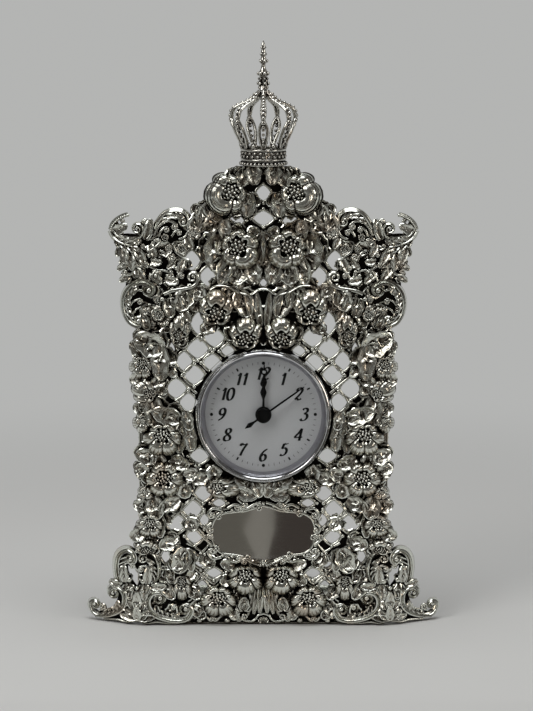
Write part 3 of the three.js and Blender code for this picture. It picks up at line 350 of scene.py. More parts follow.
panel = new_shape()
lattice = new_shape()
all_openings = both_sides(OPENINGS) + MIDDLE_OPENINGS
edge = PANEL_EDGE + [(-u, v) for u, v in reversed(PANEL_EDGE)]
loops = [edge, circle_loop(0, DIAL_HEIGHT, BORE_RADIUS)]
for u, v, wide, tall in all_openings:
    loops.append(rounded_diamond(u, v, wide + OPENING_EASE, tall + OPENING_EASE))
add_plate(panel, loops, -PANEL_THICK, -PLATE_SINK, PLATE_RIM)
rims = []
for u, v, wide, tall in all_openings:
    rim = rounded_diamond(u, v, wide + WIRE_OUT, tall + WIRE_OUT)
    rims.append([(spot(x, y, WIRE_LIFT), WIRE_RADIUS) for x, y in rim])
    for side in (1, -1):
        add_bead(lattice, spot(u + side * (wide + KNOT_OUT), v, KNOT_LIFT), KNOT_RADIUS)
    for side in (1, -1):
        add_bead(lattice, spot(u, v + side * (tall + KNOT_OUT), KNOT_LIFT), KNOT_RADIUS)
add_wires(lattice, rims, closed=True)
clear_bezel(lattice)
darken_front(panel)
settle(panel, "panel_plate", plate_silver, stands_for=["front_panel"])
settle(lattice, "lattice_wires", bright_silver)


# Panel flowers
# Open flowers, nodding ones, urn-shaped tulips and buds, cast in silver in high relief on the panel.
# Domed petals with chased lines and rolled rims stand round a cluster of beads that looks out to one side.
PETAL_ACROSS = 10
PETAL_ALONG = 8
RIM_SHARE = 0.042
BEAD_COUNT = 19
BEAD_SHARE = 0.072
BEAD_TURN = 2.39996
PETAL_THICK = 0.055
TOP_LAYER = 0.06
PETAL_WAIST = 0.88
PETAL_SWELL = 0.18
RIM_WAVE = 0.16
TIP_ROUND = 0.16
DOME_FROM = 0.27
DOME_SPAN = 0.73
EDGE_DROP = 0.40
SIDE_RIM = 0.8
CLUSTER_RISE = 1.05
CLUSTER_REACH = 0.86
CUSHION_SINK = 0.38
PLAIN_LINES = 5
CROSS_LINES = 6


def pour(shape, source):
    mesh = bpy.data.meshes.new("poured")
    source.to_mesh(mesh)
    source.free()
    shape.from_mesh(mesh)
    bpy.data.meshes.remove(mesh)


def bent_sheet(shape, across, along, bend, shade, thick):
    sheet = new_shape()
    bmesh.ops.create_grid(sheet, x_segments=across, y_segments=along, size=1.0)
    chasing_and_shade = sheet.verts.layers.float_vector["chasing_and_shade"]
    for vert in sheet.verts:
        s, t = vert.co.x, (vert.co.y + 1) / 2
        vert[chasing_and_shade] = shade(s, t)
        vert.co = bend(s, t)
    bmesh.ops.recalc_face_normals(sheet, faces=sheet.faces)
    bmesh.ops.solidify(sheet, geom=sheet.faces[:], thickness=thick)
    pour(shape, sheet)


def petal_bend(centre, lean, radius, tall, opening, rise, azimuth, spread, layer):
    u, v, height = centre

    def bend(s, t):
        angle = azimuth + s * spread * (PETAL_WAIST + PETAL_SWELL * math.sin(math.pi * t))
        way = Vector((math.cos(angle), math.sin(angle)))
        rim = Vector(lean) + way * opening * (1 + RIM_WAVE * math.cos(math.pi * s))
        place = rim.lerp(way * (1 - TIP_ROUND * s ** 4), t)
        dome = math.sin(math.pi * (DOME_FROM + DOME_SPAN * t)) ** 0.75
        lift = radius * (rise * dome * (1 - EDGE_DROP * s ** 4) + layer * (1 - 0.7 * t))
        return spot(u + radius * place.x, v + radius * tall * place.y, height + lift)
    return bend


# A petal's first value is painted shade with patina: dark grooves along its sides and outer end, and a dark
# cupped middle on the plain petals.
def petal_shade(lines, crossed):
    def shade(s, t):
        groove = max(s ** 8, (max(t - 0.82, 0) / 0.18) ** 2)
        depth = max(0.0, min(1.0, 2.2 * t - 0.4)) * (1 - s ** 4)
        if crossed:
            return groove, lines * t, depth
        cup = 0.42 * (1 - s * s) * math.sin(math.pi * t)
        return max(groove, cup), lines * (s / 2 + 0.5), 0.26 * depth
    return shade


def add_bead_cluster(shape, u, v, height, reach, tall, bead):
    for number in range(BEAD_COUNT):
        out = reach * math.sqrt((number + 0.5) / BEAD_COUNT)
        angle = number * BEAD_TURN
        lift = height - 0.25 * out * out / reach
        add_bead(shape, spot(u + out * math.cos(angle), v + tall * out * math.sin(angle), lift), bead)


def add_flower(host, centre, lean, radius, tall, form, crossed):
    shape = new_shape()
    opening, rise, petals = form
    u, v, height = centre
    front = math.atan2(-lean[1], -lean[0])
    shade = petal_shade(CROSS_LINES if crossed else PLAIN_LINES, crossed)
    rims = []
    for turn, spread, layer in petals:
        azimuth = front + math.radians(turn)
        bend = petal_bend(centre, lean, radius, tall, opening, rise, azimuth, math.radians(spread), layer)
        bent_sheet(shape, PETAL_ACROSS, PETAL_ALONG, bend, shade, PETAL_THICK * radius)
        rims.append([(bend(step / 4 - 1, 0), RIM_SHARE * radius) for step in range(9)])
        if layer > TOP_LAYER:
            for side in (-1, 1):
                rims.append([(bend(side, step / 4), RIM_SHARE * SIDE_RIM * radius) for step in range(5)])
    add_wires(shape, rims, fineness=1)
    eye = (u + lean[0] * radius, v + lean[1] * radius * tall)
    lift = height + radius * rise * CLUSTER_RISE
    add_bead_cluster(shape, *eye, lift, CLUSTER_REACH * opening * radius, tall, BEAD_SHARE * radius)
    behind = Matrix.Translation(spot(*eye, lift - CUSHION_SINK * radius))
    cushion = behind @ Matrix.Diagonal((1, 0.5, tall, 1))
    bmesh.ops.create_icosphere(shape, subdivisions=2, radius=opening * radius, matrix=cushion)
    pour(host, shape)


BOWL = (0.44, 0.46, [(151, 31, 0.0), (-151, 31, 0.02), (88, 36, 0.08), (-88, 36, 0.08), (0, 56, 0.18)])
WIDE = (0.52, 0.44, [(151, 31, 0.0), (-151, 31, 0.02), (88, 36, 0.08), (-88, 36, 0.08), (0, 56, 0.18)])
CUP = (0.46, 0.46, [(151, 31, 0.0), (-151, 31, 0.02), (102, 27, 0.08), (-102, 27, 0.08), (0, 78, 0.18)])
PAIR = (
    0.44, 0.46,
    [(151, 31, 0.0), (-151, 31, 0.02), (93, 31, 0.07), (-93, 31, 0.07), (32, 34, 0.13), (-32, 34, 0.19)],
)
HOOD = (0.54, 0.50, [(143, 39, 0.0), (-143, 39, 0.02), (76, 32, 0.08), (-76, 32, 0.08), (0, 47, 0.20)])
URN = (0.46, 0.58, [(136, 46, 0.0), (-136, 46, 0.02), (67, 27, 0.08), (-67, 27, 0.08), (0, 43, 0.18)])
BUD = (0.34, 0.58, [(180, 58, 0.0), (87, 40, 0.08), (-87, 40, 0.08), (0, 52, 0.16)])
FLOWERS = [
    ("pediment_flower", (19.6, 226.0, 0.3), (-0.27, 0.16), 10.8, 1.06, CUP, True),
    ("upper_flower", (11.8, 198.0, 1.0), (0.12, 0.16), 10.4, 1.02, WIDE, False),
    ("nodding_flower", (24.2, 168.4, 0.5), (0.0, -0.34), 9.6, 1.0, HOOD, False),
    ("arch_flower", (9.2, 155.4, 0.5), (0.0, -0.42), 9.2, 0.9, HOOD, False),
    ("bracket_bell", (43.4, 156.4, 1.0), (0.0, -0.40), 5.8, 1.45, HOOD, False),
    ("edge_flower", (62.7, 136.4, 0.3), (0.0, 0.28), 6.7, 1.0, PAIR, False),
    ("edge_nodding_flower", (62.0, 124.4, 0.3), (-0.40, -0.25), 6.6, 1.0, BOWL, False),
    ("edge_bud", (62.4, 107.5, 0.2), (0.0, 0.2), 5.4, 1.05, BUD, False),
    ("side_flower", (52.2, 98.6, 0.3), (0.0, 0.30), 10.2, 0.9, PAIR, False),
    ("lower_side_flower", (51.5, 77.6, 0.3), (0.0, 0.10), 10.0, 0.98, PAIR, False),
    ("lower_edge_bud", (60.9, 70.2, 0.2), (0.1, 0.1), 4.8, 0.9, BUD, False),
    ("corner_flower", (59.0, 52.8, 0.3), (0.0, 0.22), 7.4, 0.92, PAIR, False),
    ("corner_bell", (61.0, 42.0, 0.5), (0.0, -0.35), 6.8, 0.62, HOOD, False),
    ("foot_tulip", (42.6, 19.8, 1.0), (0.0, 0.45), 5.3, 1.35, URN, False),
    ("base_flower", (23.4, 12.6, 0.4), (0.0, 0.25), 10.0, 0.86, PAIR, False),
    ("base_tulip", (9.4, 24.2, 1.0), (0.0, 0.40), 9.6, 0.84, URN, False),
    ("plate_flower", (20.6, 73.2, 0.3), (0.30, 0.1), 9.0, 0.68, BOWL, False),
    ("shoulder_bud", (35.2, 206.6, 0.3), (0.1, -0.1), 4.6, 1.0, BUD, False),
]
for name, centre, lean, radius, tall, form, crossed in FLOWERS:
    flower = new_shape()
    add_flower(flower, centre, lean, radius, tall, form, crossed)
    settle_pair(flower, name, bright_silver)


# Panel leaves
# Lobed silver leaves that fill the panel between its flowers, hollowed inside, with a raised rim and midrib.
# They are cast in one with the plate and stand a little lower than the petals.
LEAF_THICK = 0.5
LEAF_RIM = 0.46
LOBE_RIPPLE = 0.10
LOBE_CUP = 0.5
LOBE_LIFT = 0.8
LOBE_DARK = 0.38
VEIN_DEPTH = 0.16
SIDE_LOBE = math.radians(44)
SIDE_REACH = 0.66
SIDE_WIDTH = 0.95
MIDDLE_WIDTH = 1.1
MIDDLE_LIFT = 0.5


def lobe_bend(base, tip, width, arch):
    root = Vector(base)
    along = Vector(tip) - root
    side = Vector((-along.y, along.x, 0)).normalized()

    def bend(s, t):
        ripple = 1 + LOBE_RIPPLE * math.cos(5 * math.pi * t)
        swell = math.sin(math.pi * (0.06 + 0.90 * t ** 0.8)) ** 0.55 * ripple
        cup = LOBE_CUP * width * swell * (s * s - 0.6)
        lift = LOBE_LIFT + arch * math.sin(math.pi * (0.1 + 0.75 * t)) + cup
        point = root + along * t + side * (s * width * swell)
        return spot(point.x, point.y, point.z + lift)
    return bend


# Painted shade with patina darkens the hollow middle of each lobe; the veins are chased lines.
def lobe_shade(s, t):
    return LOBE_DARK * (1 - s * s) ** 1.5, 3 * t + 1.5 * abs(s), VEIN_DEPTH * (1 - s ** 4)


def add_lobe(shape, base, tip, width, arch=1.2, fine=8):
    bend = lobe_bend(base, tip, width, arch)
    bent_sheet(shape, 6, fine, bend, lobe_shade, LEAF_THICK)
    rim = [bend(-1, step / fine) for step in range(fine + 1)]
    rim += [bend(1, 1 - step / fine) for step in range(fine + 1)]
    return [[(point, LEAF_RIM) for point in rim]]


def add_leaf(shape, base, tip, width, arch=1.2, fine=8):
    root, along = Vector(base), Vector(tip) - Vector(base)
    rims = []
    for turn in (-SIDE_LOBE, SIDE_LOBE):
        aside = SIDE_REACH * (Matrix.Rotation(turn, 3, "Z") @ along)
        rims += add_lobe(shape, root + 0.1 * along, root + aside, SIDE_WIDTH * width, arch * 0.7, fine)
    raised = Vector((0, 0, MIDDLE_LIFT))
    return rims + add_lobe(shape, root + raised, root + along + raised, MIDDLE_WIDTH * width, arch, fine)


UPPER_LEAVES = [
    ((5.4, 242, 0.4), (4.6, 231.8, 1.6), 3.6), ((9.6, 240, 0), (10.6, 231, 0.8), 3.2),
    ((7.6, 227.5, 0.4), (8.4, 215, 0.8), 3.2), ((22.8, 206, 0.3), (24.6, 187, 0.8), 6.0),
    ((20.0, 213.4, 0), (19.6, 203, 0.6), 2.8), ((29.6, 209.6, 0), (33.4, 220.6, 0.5), 2.8),
    ((37, 207, 0), (32.6, 218, 0.6), 3.0), ((27, 221, 0), (33, 212, 0.4), 3.6),
    ((2.4, 208, 0), (2.2, 190, 0.5), 2.8), ((6, 191, 0), (4.0, 180.5, 0.8), 3.8),
    ((10.6, 189, 0), (16.2, 181, 0.8), 4.4), ((18.6, 193, 0), (22, 180.5, 0.6), 3.6),
    ((4, 206, 0), (7.4, 209.4, 0.4), 2.2), ((12.6, 176.5, 0.2), (7.4, 163.5, 1.0), 4.6),
    ((15.6, 178, 0), (15.0, 166, 0.8), 3.4), ((33.2, 179, 0), (35, 166, 0.6), 4.4),
    ((38, 177, 0), (44, 167, 0.8), 4.2), ((14, 152, 0), (19.6, 157, 0.6), 2.8),
    ((44, 152, 0), (40, 148, 0.6), 2.8), ((30.6, 200, 0), (30.8, 192, 0.4), 2.0),
    ((21.5, 215, 0), (27, 216.5, 0.3), 2.6),
]
MIDDLE_LEAVES = [
    ((52, 145.5, 0.2), (66, 153, 0.6), 5.6), ((53.6, 148, 0), (53.0, 130, 1.2), 4.2),
    ((50.4, 131.6, 0), (58, 127.4, 0.8), 2.8), ((50.0, 137.4, 0), (45.4, 132.2, 0.5), 2.2),
    ((43.2, 109, 0), (57, 114, 1.2), 4.2), ((57.2, 121, 0), (56.4, 106, 0.8), 4.4),
    ((44.6, 108, 0), (43.4, 92, 0.8), 3.0), ((38.4, 106, 0), (37.4, 93, 0.6), 3.0),
    ((40, 113, 0), (38, 104, 0.4), 2.8), ((61, 131, 0), (69, 129.6, 0.2), 3.4),
    ((56, 88, 0), (66, 92, 0.4), 3.8), ((48, 88.5, 0), (39, 84.5, 0.6), 3.4),
    ((60.6, 80, 0), (66, 85, 0.2), 3.4), ((40.6, 79, 0), (35, 82.4, 0.4), 3.0),
    ((57.4, 68, 0), (55.4, 57, 0.8), 4.4), ((43.6, 67, 0.2), (54, 62, 1.0), 3.4),
    ((62, 50, 0), (69.4, 46.4, 0.2), 3.2), ((54.6, 60, 0), (53.6, 47, 0.6), 2.6),
    ((62.6, 144, 0), (68, 150, 0), 3.4), ((14, 79, 0), (6, 74, 0.6), 3.6),
    ((13, 70.5, 0), (3.5, 69, 0.6), 3.0), ((29, 79.5, 0), (37, 76.5, 0.4), 3.0),
    ((4, 78, 0), (1.8, 68.5, 0.6), 2.8),
]
LOWER_LEAVES = [
    ((10.4, 7.8, 0.8), (10.0, 14.8, 1.4), 2.4), ((33.6, 13, 0), (37, 4, 0.6), 3.2),
    ((16.5, 26, 0), (22, 22, 0.6), 2.8), ((36, 28, 0), (40, 24.5, 0.4), 2.2),
    ((41, 41, 0), (45, 28, 0.6), 4.4), ((38.6, 39, 0), (37.6, 29, 0.6), 2.2),
    ((46, 45, 0), (54, 42, 0.6), 3.4), ((49, 35, 0), (42, 31, 0.4), 3.0),
    ((14, 31.5, 0), (22, 33.5, 0.4), 2.6), ((36, 9.5, 0), (31, 3.6, 0.4), 2.6),
    ((16, 8, 0), (14.4, 3, 0.4), 2.4), ((1.4, 31, 0), (7, 33.5, 0.4), 2.2),
    ((49.6, 30.4, 0), (47.8, 22.4, 0.4), 2.0), ((52.6, 22.4, 0.4), (47.0, 14.2, 1.0), 2.6),
    ((38.4, 19.6, 0), (33.4, 14.4, 0.6), 2.6),
]
for name, leaves in (("upper", UPPER_LEAVES), ("middle", MIDDLE_LEAVES), ("lower", LOWER_LEAVES)):
    foliage = new_shape()
    rims = []
    for base, tip, width in leaves:
        rims += add_leaf(foliage, base, tip, width)
    add_wires(foliage, rims, fineness=1)
    clear_bezel(foliage)
    settle_pair(foliage, name + "_leaves", bright_silver)


BRACKET_HOLLOW = (51.0, 188.2, 7.0, 3.6)
DIAL_KEEP = 36
NAME_KEEP_WIDE = 30
NAME_KEEP_TALL = 17
NAME_HEIGHT = 49
EDGE_KEEP = 62
SHOULDER_KEEP = 204
PEDIMENT_FOOT = 206
PEDIMENT_HALF = 36
PEDIMENT_SLOPE = 0.6


def is_bare(u, v, margin):
    if math.hypot(u, v - DIAL_HEIGHT) < DIAL_KEEP + margin:
        return False
    if abs(u) < NAME_KEEP_WIDE and abs(v - NAME_HEIGHT) < NAME_KEEP_TALL:
        return False
    for centre_u, centre_v, wide, tall in OPENINGS + MIDDLE_OPENINGS + [BRACKET_HOLLOW]:
        across = abs((u - centre_u) / (wide + margin))
        upward = abs((v - centre_v) / (tall + margin))
        if across ** DIAMOND_POWER + upward ** DIAMOND_POWER < 1:
            return False
    pediment = PEDIMENT_HALF - (v - PEDIMENT_FOOT) * PEDIMENT_SLOPE
    return u < EDGE_KEEP and (v < SHOULDER_KEEP or u < pediment)


def leaf_near(u, v, reach):
    for base, tip, _ in UPPER_LEAVES + MIDDLE_LEAVES + LOWER_LEAVES:
        if math.hypot(u - (base[0] + tip[0]) / 2, v - (base[1] + tip[1]) / 2) < reach:
            return True
    return False


FILL_STEP = 9.4
FILL_START = 2.4
FILL_ROWS = 26
FILL_COLUMNS = 8
FILL_WIDTH = 3.4
FILL_ARCH = 0.8
FILL_BEAD = 1.1
FILL_REACH = 7.4
FILL_CLEAR = 4.6
FILL_MARGIN = 1.2
TIP_MARGIN = 0.2
FLOWER_SHARE = 0.7
ROW_TURN = 97
COLUMN_TURN = 57


def flower_near(u, v):
    for _, centre, _, radius, tall, _, _ in FLOWERS:
        if math.hypot(u - centre[0], (v - centre[1]) / tall) < FLOWER_SHARE * radius:
            return True
    return False


def free_tip(u, v, first_turn):
    for more in range(0, 360, 45):
        turn = math.radians(first_turn + more)
        tip_u, tip_v = u + FILL_REACH * math.cos(turn), v + FILL_REACH * math.sin(turn)
        if tip_u > 0.5 and tip_v > 3 and is_bare(tip_u, tip_v, TIP_MARGIN):
            return tip_u, tip_v, 0
    return None


background = new_shape()
rims = []
for row in range(1, FILL_ROWS):
    for column in range(FILL_COLUMNS):
        u = FILL_START + column * FILL_STEP + (row % 2) * FILL_STEP / 2
        v = row * FILL_STEP
        if flower_near(u, v) or leaf_near(u, v, FILL_CLEAR) or not is_bare(u, v, FILL_MARGIN):
            continue
        tip = free_tip(u, v, (row * ROW_TURN + column * COLUMN_TURN) % 360)
        if tip:
            rims += add_leaf(background, (u, v, 0), tip, FILL_WIDTH, FILL_ARCH, fine=5)
            add_bead(background, spot(u, v, 1.0), FILL_BEAD)
add_wires(background, rims, fineness=0)
clear_bezel(background)
settle_pair(background, "small_leaves", bright_silver)

EDGE_LEAVES = [
    ((33, 209), (38.4, 214.6)), ((31, 216), (36.4, 220.4)), ((60, 150), (66.6, 155)),
    ((60, 113), (67, 116.6)), ((60, 94), (67, 91)), ((60, 82), (67, 86)), ((60, 62), (67.4, 65)),
    ((59, 157), (65, 162)),
]
EDGE_WIDTH = 3.2
edging = new_shape()
rims = []
for base, tip in EDGE_LEAVES:
    rims += add_leaf(edging, (*base, 0), (*tip, -0.6), EDGE_WIDTH)
add_wires(edging, rims, fineness=1)
settle_pair(edging, "edge_leaves", bright_silver)

FOOT_FAN = [
    ((0.9, 24.5), (2.0, 6.4), 1.7), ((1.7, 24.6), (5.2, 6.0), 1.5), ((2.4, 24.4), (8.2, 5.2), 1.0),
]
ARCH_FAN = [((1.6, 158.5), (3.4, 175.6), 1.7), ((3.6, 159.5), (9.4, 174.2), 1.9)]
FAN_ROOT = 0.8
FAN_TIP = 1.4
fans = new_shape()
for base, tip, width in FOOT_FAN:
    add_lobe(fans, (*base, FAN_ROOT), (*tip, FAN_TIP), width, fine=12)
rims = []
for base, tip, width in ARCH_FAN:
    rims += add_lobe(fans, (*base, FAN_ROOT), (*tip, FAN_TIP), width, fine=12)
add_wires(fans, rims, fineness=1)
settle_pair(fans, "palm_leaves", bright_silver)


# Scroll mouldings of the panel
# Silver mouldings cast on the panel: a wavy one over the fan, small scrolls and a shell along the foot.
# Every scroll is a tapering rod or ridged band that winds into a tight curl with a bead in its eye.
CURL_STEPS = 22
CURL_TIGHTEN = 0.78
ROD_TAPER = 0.45
ROD_EYE = 1.1
EYE_LIFT = 0.2
BAND_TAPER = 0.68
BAND_TAPER_RATE = 1.6
BAND_RIDGE = 0.13
BAND_GROOVE = 0.75
BAND_THICK = 0.45
BAND_EYE = 0.42


def smooth_path(points, steps=6):
    path = []
    last = len(points) - 1
    for number in range(last):
        p0, p1 = points[max(number - 1, 0)], points[number]
        p2, p3 = points[number + 1], points[min(number + 2, last)]
        for step in range(steps):
            t = step / steps
            path.append(tuple(
                0.5 * (
                    2 * b + (c - a) * t + (2 * a - 5 * b + 4 * c - d) * t * t
                    + (3 * b - a - 3 * c + d) * t ** 3
                )
                for a, b, c, d in zip(p0, p1, p2, p3)
            ))
    path.append(tuple(points[-1]))
    return path


def curl_path(before, start, side, radius, turns):
    heading = math.atan2(start[1] - before[1], start[0] - before[0])
    u, v = start
    path = []
    for step in range(CURL_STEPS):
        angle = math.tau * turns / CURL_STEPS
        reach = radius * (1 - CURL_TIGHTEN * step / CURL_STEPS)
        heading += side * angle
        u += reach * angle * math.cos(heading)
        v += reach * angle * math.sin(heading)
        path.append((u, v))
    return path


def scroll_path(points, start, end):
    path = smooth_path(points)
    lead, tail = [], []
    if start:
        lead = curl_path(path[1], path[0], *start)[::-1]
    if end:
        tail = curl_path(path[-2], path[-1], *end)
    whole = lead + path + tail
    into = []
    for number in range(len(whole)):
        past = max(len(lead) - number, number - len(lead) - len(path) + 1, 0)
        into.append(past / CURL_STEPS)
    return whole, into


def add_eyes(shape, whole, start, end, height, radius):
    for place, curled in ((whole[0], start), (whole[-1], end)):
        if curled:
            add_bead(shape, spot(*place, height), radius)


def add_scroll(shape, points, thick, height, start=None, end=None):
    whole, into = scroll_path(points, start, end)
    strand = []
    for (u, v), share in zip(whole, into):
        strand.append((spot(u, v, height), thick * (1 - ROD_TAPER * share)))
    add_wires(shape, [strand], fineness=3)
    add_eyes(shape, whole, start, end, height + EYE_LIFT * thick, ROD_EYE * thick)


def add_band(shape, points, wide, height, ridges, start=None, end=None, foot=0.8):
    whole, into = scroll_path(points, start, end)
    last = len(whole) - 1

    def bend(s, t):
        number = round(t * last)
        before, after = whole[max(number - 1, 0)], whole[min(number + 1, last)]
        heading = math.atan2(after[1] - before[1], after[0] - before[0])
        narrow = 1 - BAND_TAPER * min(1.0, BAND_TAPER_RATE * into[number])
        across = s * narrow * wide / 2
        u = whole[number][0] - across * math.sin(heading)
        v = whole[number][1] + across * math.cos(heading)
        ridge = BAND_RIDGE * wide * narrow * math.cos(math.pi * ridges * s)
        return spot(u, v, foot + (height - foot) * (1 - s ** 4) + ridge)

    # Painted shade with patina darkens the grooves between the band's ridges.
    def shade(s, t):
        groove = (1 - math.cos(math.pi * ridges * s)) / 2
        return BAND_GROOVE * groove ** 3, 0, 0
    bent_sheet(shape, ridges * 6, last, bend, shade, BAND_THICK)
    add_eyes(shape, whole, start, end, height, BAND_EYE * wide)


WAVE_WIDE = 1.7
WAVE_RISE = 2.6
WAVE_FOOT = -0.4
HUMP_FIRST = 19
HUMP_STEP = 14.6
HUMP_CURL = (1.3, 1.0)
HUMP_RISE = 1.4
mouldings = new_shape()
half_wave = [(4.6, 175.6), (7.4, 174.6), (12.7, 175.8), (18.0, 178.6), (23.2, 179.2), (26.8, 177.6)]
arch = [(-4.6, 175.6), (-3.0, 177.0), (0, 177.6), (3.0, 177.0), (4.6, 175.6)]
add_band(mouldings, arch, WAVE_WIDE, WAVE_RISE, 1, foot=WAVE_FOOT)
for side in (1, -1):
    wave = [(side * u, v) for u, v in half_wave]
    add_band(mouldings, wave, WAVE_WIDE, WAVE_RISE, 1, end=(-side, 1.8, 1.1), foot=WAVE_FOOT)
    for number in range(3):
        middle = side * (HUMP_FIRST + number * HUMP_STEP)
        hump = [(middle - 5.4, 2.4), (middle - 2.8, 4.8), (middle + 2.8, 4.8), (middle + 5.4, 2.4)]
        add_scroll(mouldings, hump, 0.8, HUMP_RISE, start=(-1, *HUMP_CURL), end=(1, *HUMP_CURL))
        add_bead(mouldings, spot(middle, 2.4, HUMP_RISE), 1.6)
    eye = [(side * u, v) for u, v in ((0, 6.0), (2.8, 5.0), (4.4, 2.8), (7.0, 1.7), (10.2, 2.4))]
    add_scroll(mouldings, eye, 0.7, 1.6, end=(side, 1.8, 1.1))
    leaf_tip = [(side * u, v) for u, v in ((1.5, 240), (6, 240), (9.5, 238))]
    add_scroll(mouldings, leaf_tip, 0.6, 0.8, end=(-side, 1.9, 1.1))
SHELL_LOBES = 5
SHELL_FROM = 26
SHELL_SPREAD = 128
SHELL_ROOT = 1.3
SHELL_RISE = 0.4
for number in range(SHELL_LOBES):
    turn = math.radians(SHELL_FROM + SHELL_SPREAD * number / (SHELL_LOBES - 1))
    tip = (3.1 * math.cos(turn), SHELL_ROOT + 3.2 * math.sin(turn), SHELL_RISE)
    add_lobe(mouldings, (0.6 * math.cos(turn), SHELL_ROOT, SHELL_RISE), tip, 0.8, fine=6)
LATTICE_RODS = [
    ((21, 17), (41, 34)), ((23, 37.5), (37, 21.5)), ((27.5, 43.5), (43, 26)), ((19, 29.5), (29, 17.5)),
    ((26, 35), (40, 43.5)), ((41.6, 129.0), (34.6, 122.8)), ((36, 68), (56, 48)), ((48, 66), (30, 45)),
    ((50, 118), (36, 104)), ((48, 170), (32, 150)),
]
ROD_RADIUS = 0.85
ROD_LIFT = 0.2
for base, tip in LATTICE_RODS:
    for side in (1, -1):
        rod = [(spot(side * u, v, ROD_LIFT), ROD_RADIUS) for u, v in (base, tip)]
        add_wires(mouldings, [rod])
foot_rail = [(-61, 0.7), (-30, 0.7), (0, 0.7), (30, 0.7), (61, 0.7)]
add_scroll(mouldings, foot_rail, 0.6, 0.4)
settle(mouldings, "panel_mouldings", bright_silver)


# Upper corner brackets
# Heavy scrollwork cast in silver and bent round the front corners, with its outer half turned back.
# C-scrolls end in tight volutes, serrated leaves curl between them, and a moulded lip runs to the wing tip.
BAND_RISE = 2.9
CURL_RISE = 2.4
LIP_THICK = 1.0
LIP_RISE = 2.2
LIP_BEAD = 0.8
LIP_BEAD_RISE = 3.0
BRACKET_LEAN = (0.0, -0.22)
BRACKET_TALL = 1.05
PEARL_RISE = 2.6
WEB_THICK = 1.2
WEB_RIM = 0.25
bracket = new_shape()
BRACKET_BANDS = [
    (
        [
            (55.8, 208.8), (53.4, 213.0), (50.4, 216.4), (46.4, 218.0), (42.4, 217.8), (39.4, 215.8),
            (38.4, 213.2),
        ],
        2.8, 2, None, (1, 2.6, 1.3),
    ),
    ([(79.0, 207.2), (77.2, 203.8), (73.2, 201.2), (69.0, 200.0), (64.6, 199.5)], 2.4, 2, None, None),
    (
        [(77.8, 207.6), (75.4, 205.0), (71.4, 203.6), (66.8, 203.2), (63.0, 204.8), (61.6, 208.0)], 2.0, 2,
        None, (-1, 3.0, 1.35),
    ),
    (
        [
            (58.0, 179.6), (61.2, 181.2), (64.6, 181.0), (68.2, 178.4), (70.9, 174.6), (71.9, 169.6),
            (71.0, 164.4), (68.6, 160.6), (65.6, 159.0),
        ],
        3.8, 3, (1, 2.9, 1.25), (-1, 2.3, 1.25),
    ),
    (
        [(51.2, 175.0), (47.6, 176.6), (43.0, 177.4), (38.6, 178.2), (35.2, 179.8), (33.6, 182.6)], 2.2, 1,
        None, (-1, 3.0, 1.3),
    ),
]
for points, wide, ridges, start, end in BRACKET_BANDS:
    add_band(bracket, points, wide, BAND_RISE, ridges, start, end)
BRACKET_CURLS = [
    ([(56.2, 205.4), (54.2, 209.4), (51.2, 212.2), (47.6, 212.8), (44.8, 211.2)], 0.8, (1, 1.6, 1.2)),
    ([(53.6, 204.8), (52.6, 207.6), (50.8, 209.4)], 0.7, (1, 1.5, 1.2)),
    ([(47.0, 204.8), (45.4, 207.4), (43.6, 208.0)], 0.7, (1, 1.3, 1.2)),
    ([(70.4, 170.6), (68.8, 174.8), (65.2, 177.2), (61.6, 176.4)], 0.7, (-1, 1.7, 1.2)),
    ([(69.6, 166.4), (67.4, 170.6), (64.4, 172.4)], 0.6, (1, 1.5, 1.2)),
    ([(68.2, 162.6), (66.0, 166.6), (63.4, 168.0)], 0.6, (1, 1.3, 1.2)),
    ([(59.0, 181.4), (57.6, 184.4), (55.6, 187.0)], 0.75, (1, 1.5, 1.25)),
    ([(47.6, 180.2), (45.2, 182.0), (43.6, 185.0)], 0.75, (1, 1.5, 1.25)),
    ([(64.4, 184.4), (63.6, 188.6), (61.0, 191.0)], 0.7, (1, 1.4, 1.2)),
    ([(78.0, 206.4), (74.2, 206.6), (71.0, 208.6)], 0.6, (-1, 1.2, 1.2)),
    ([(76.8, 209.4), (74.0, 209.8), (71.8, 211.6)], 0.6, (-1, 1.1, 1.2)),
    ([(59.6, 203.4), (57.6, 206.6), (58.0, 210.6), (60.2, 213.2)], 0.9, (-1, 1.2, 1.1)),
    ([(58.6, 189.4), (54.8, 187.6), (51.0, 187.2), (47.2, 185.8)], 0.6, (1, 1.2, 1.1)),
    ([(72.0, 198.6), (69.4, 195.2), (69.6, 191.4), (71.6, 188.8)], 0.8, (1, 1.4, 1.2)),
    ([(67.0, 198.0), (65.4, 194.4), (66.0, 190.6)], 0.75, (-1, 1.4, 1.2)),
    ([(66.4, 187.4), (68.4, 185.0), (71.0, 184.6)], 0.75, (1, 1.3, 1.2)),
    ([(46.0, 200.4), (44.6, 196.6), (41.6, 194.4)], 0.7, (-1, 1.3, 1.2)),
    ([(53.2, 197.6), (50.4, 196.2), (48.2, 192.6)], 0.7, (-1, 1.4, 1.2)),
    ([(59.6, 197.0), (56.4, 198.6), (53.2, 201.6)], 0.7, (-1, 1.3, 1.2)),
    ([(43.4, 203.4), (40.4, 204.6), (38.4, 207.6)], 0.7, (1, 1.3, 1.2)),
]
for points, thick, end in BRACKET_CURLS:
    add_scroll(bracket, points, thick, CURL_RISE, end=end)
wing_rim = [(79.0, 207.8), (78.0, 210.6), (75.7, 213.2), (72.6, 215.2), (69.9, 216.2)]
add_scroll(bracket, wing_rim, LIP_THICK, LIP_RISE)
for u, v in smooth_path(wing_rim, 3):
    add_bead(bracket, spot(u - 0.5, v - 0.6, LIP_BEAD_RISE), LIP_BEAD)
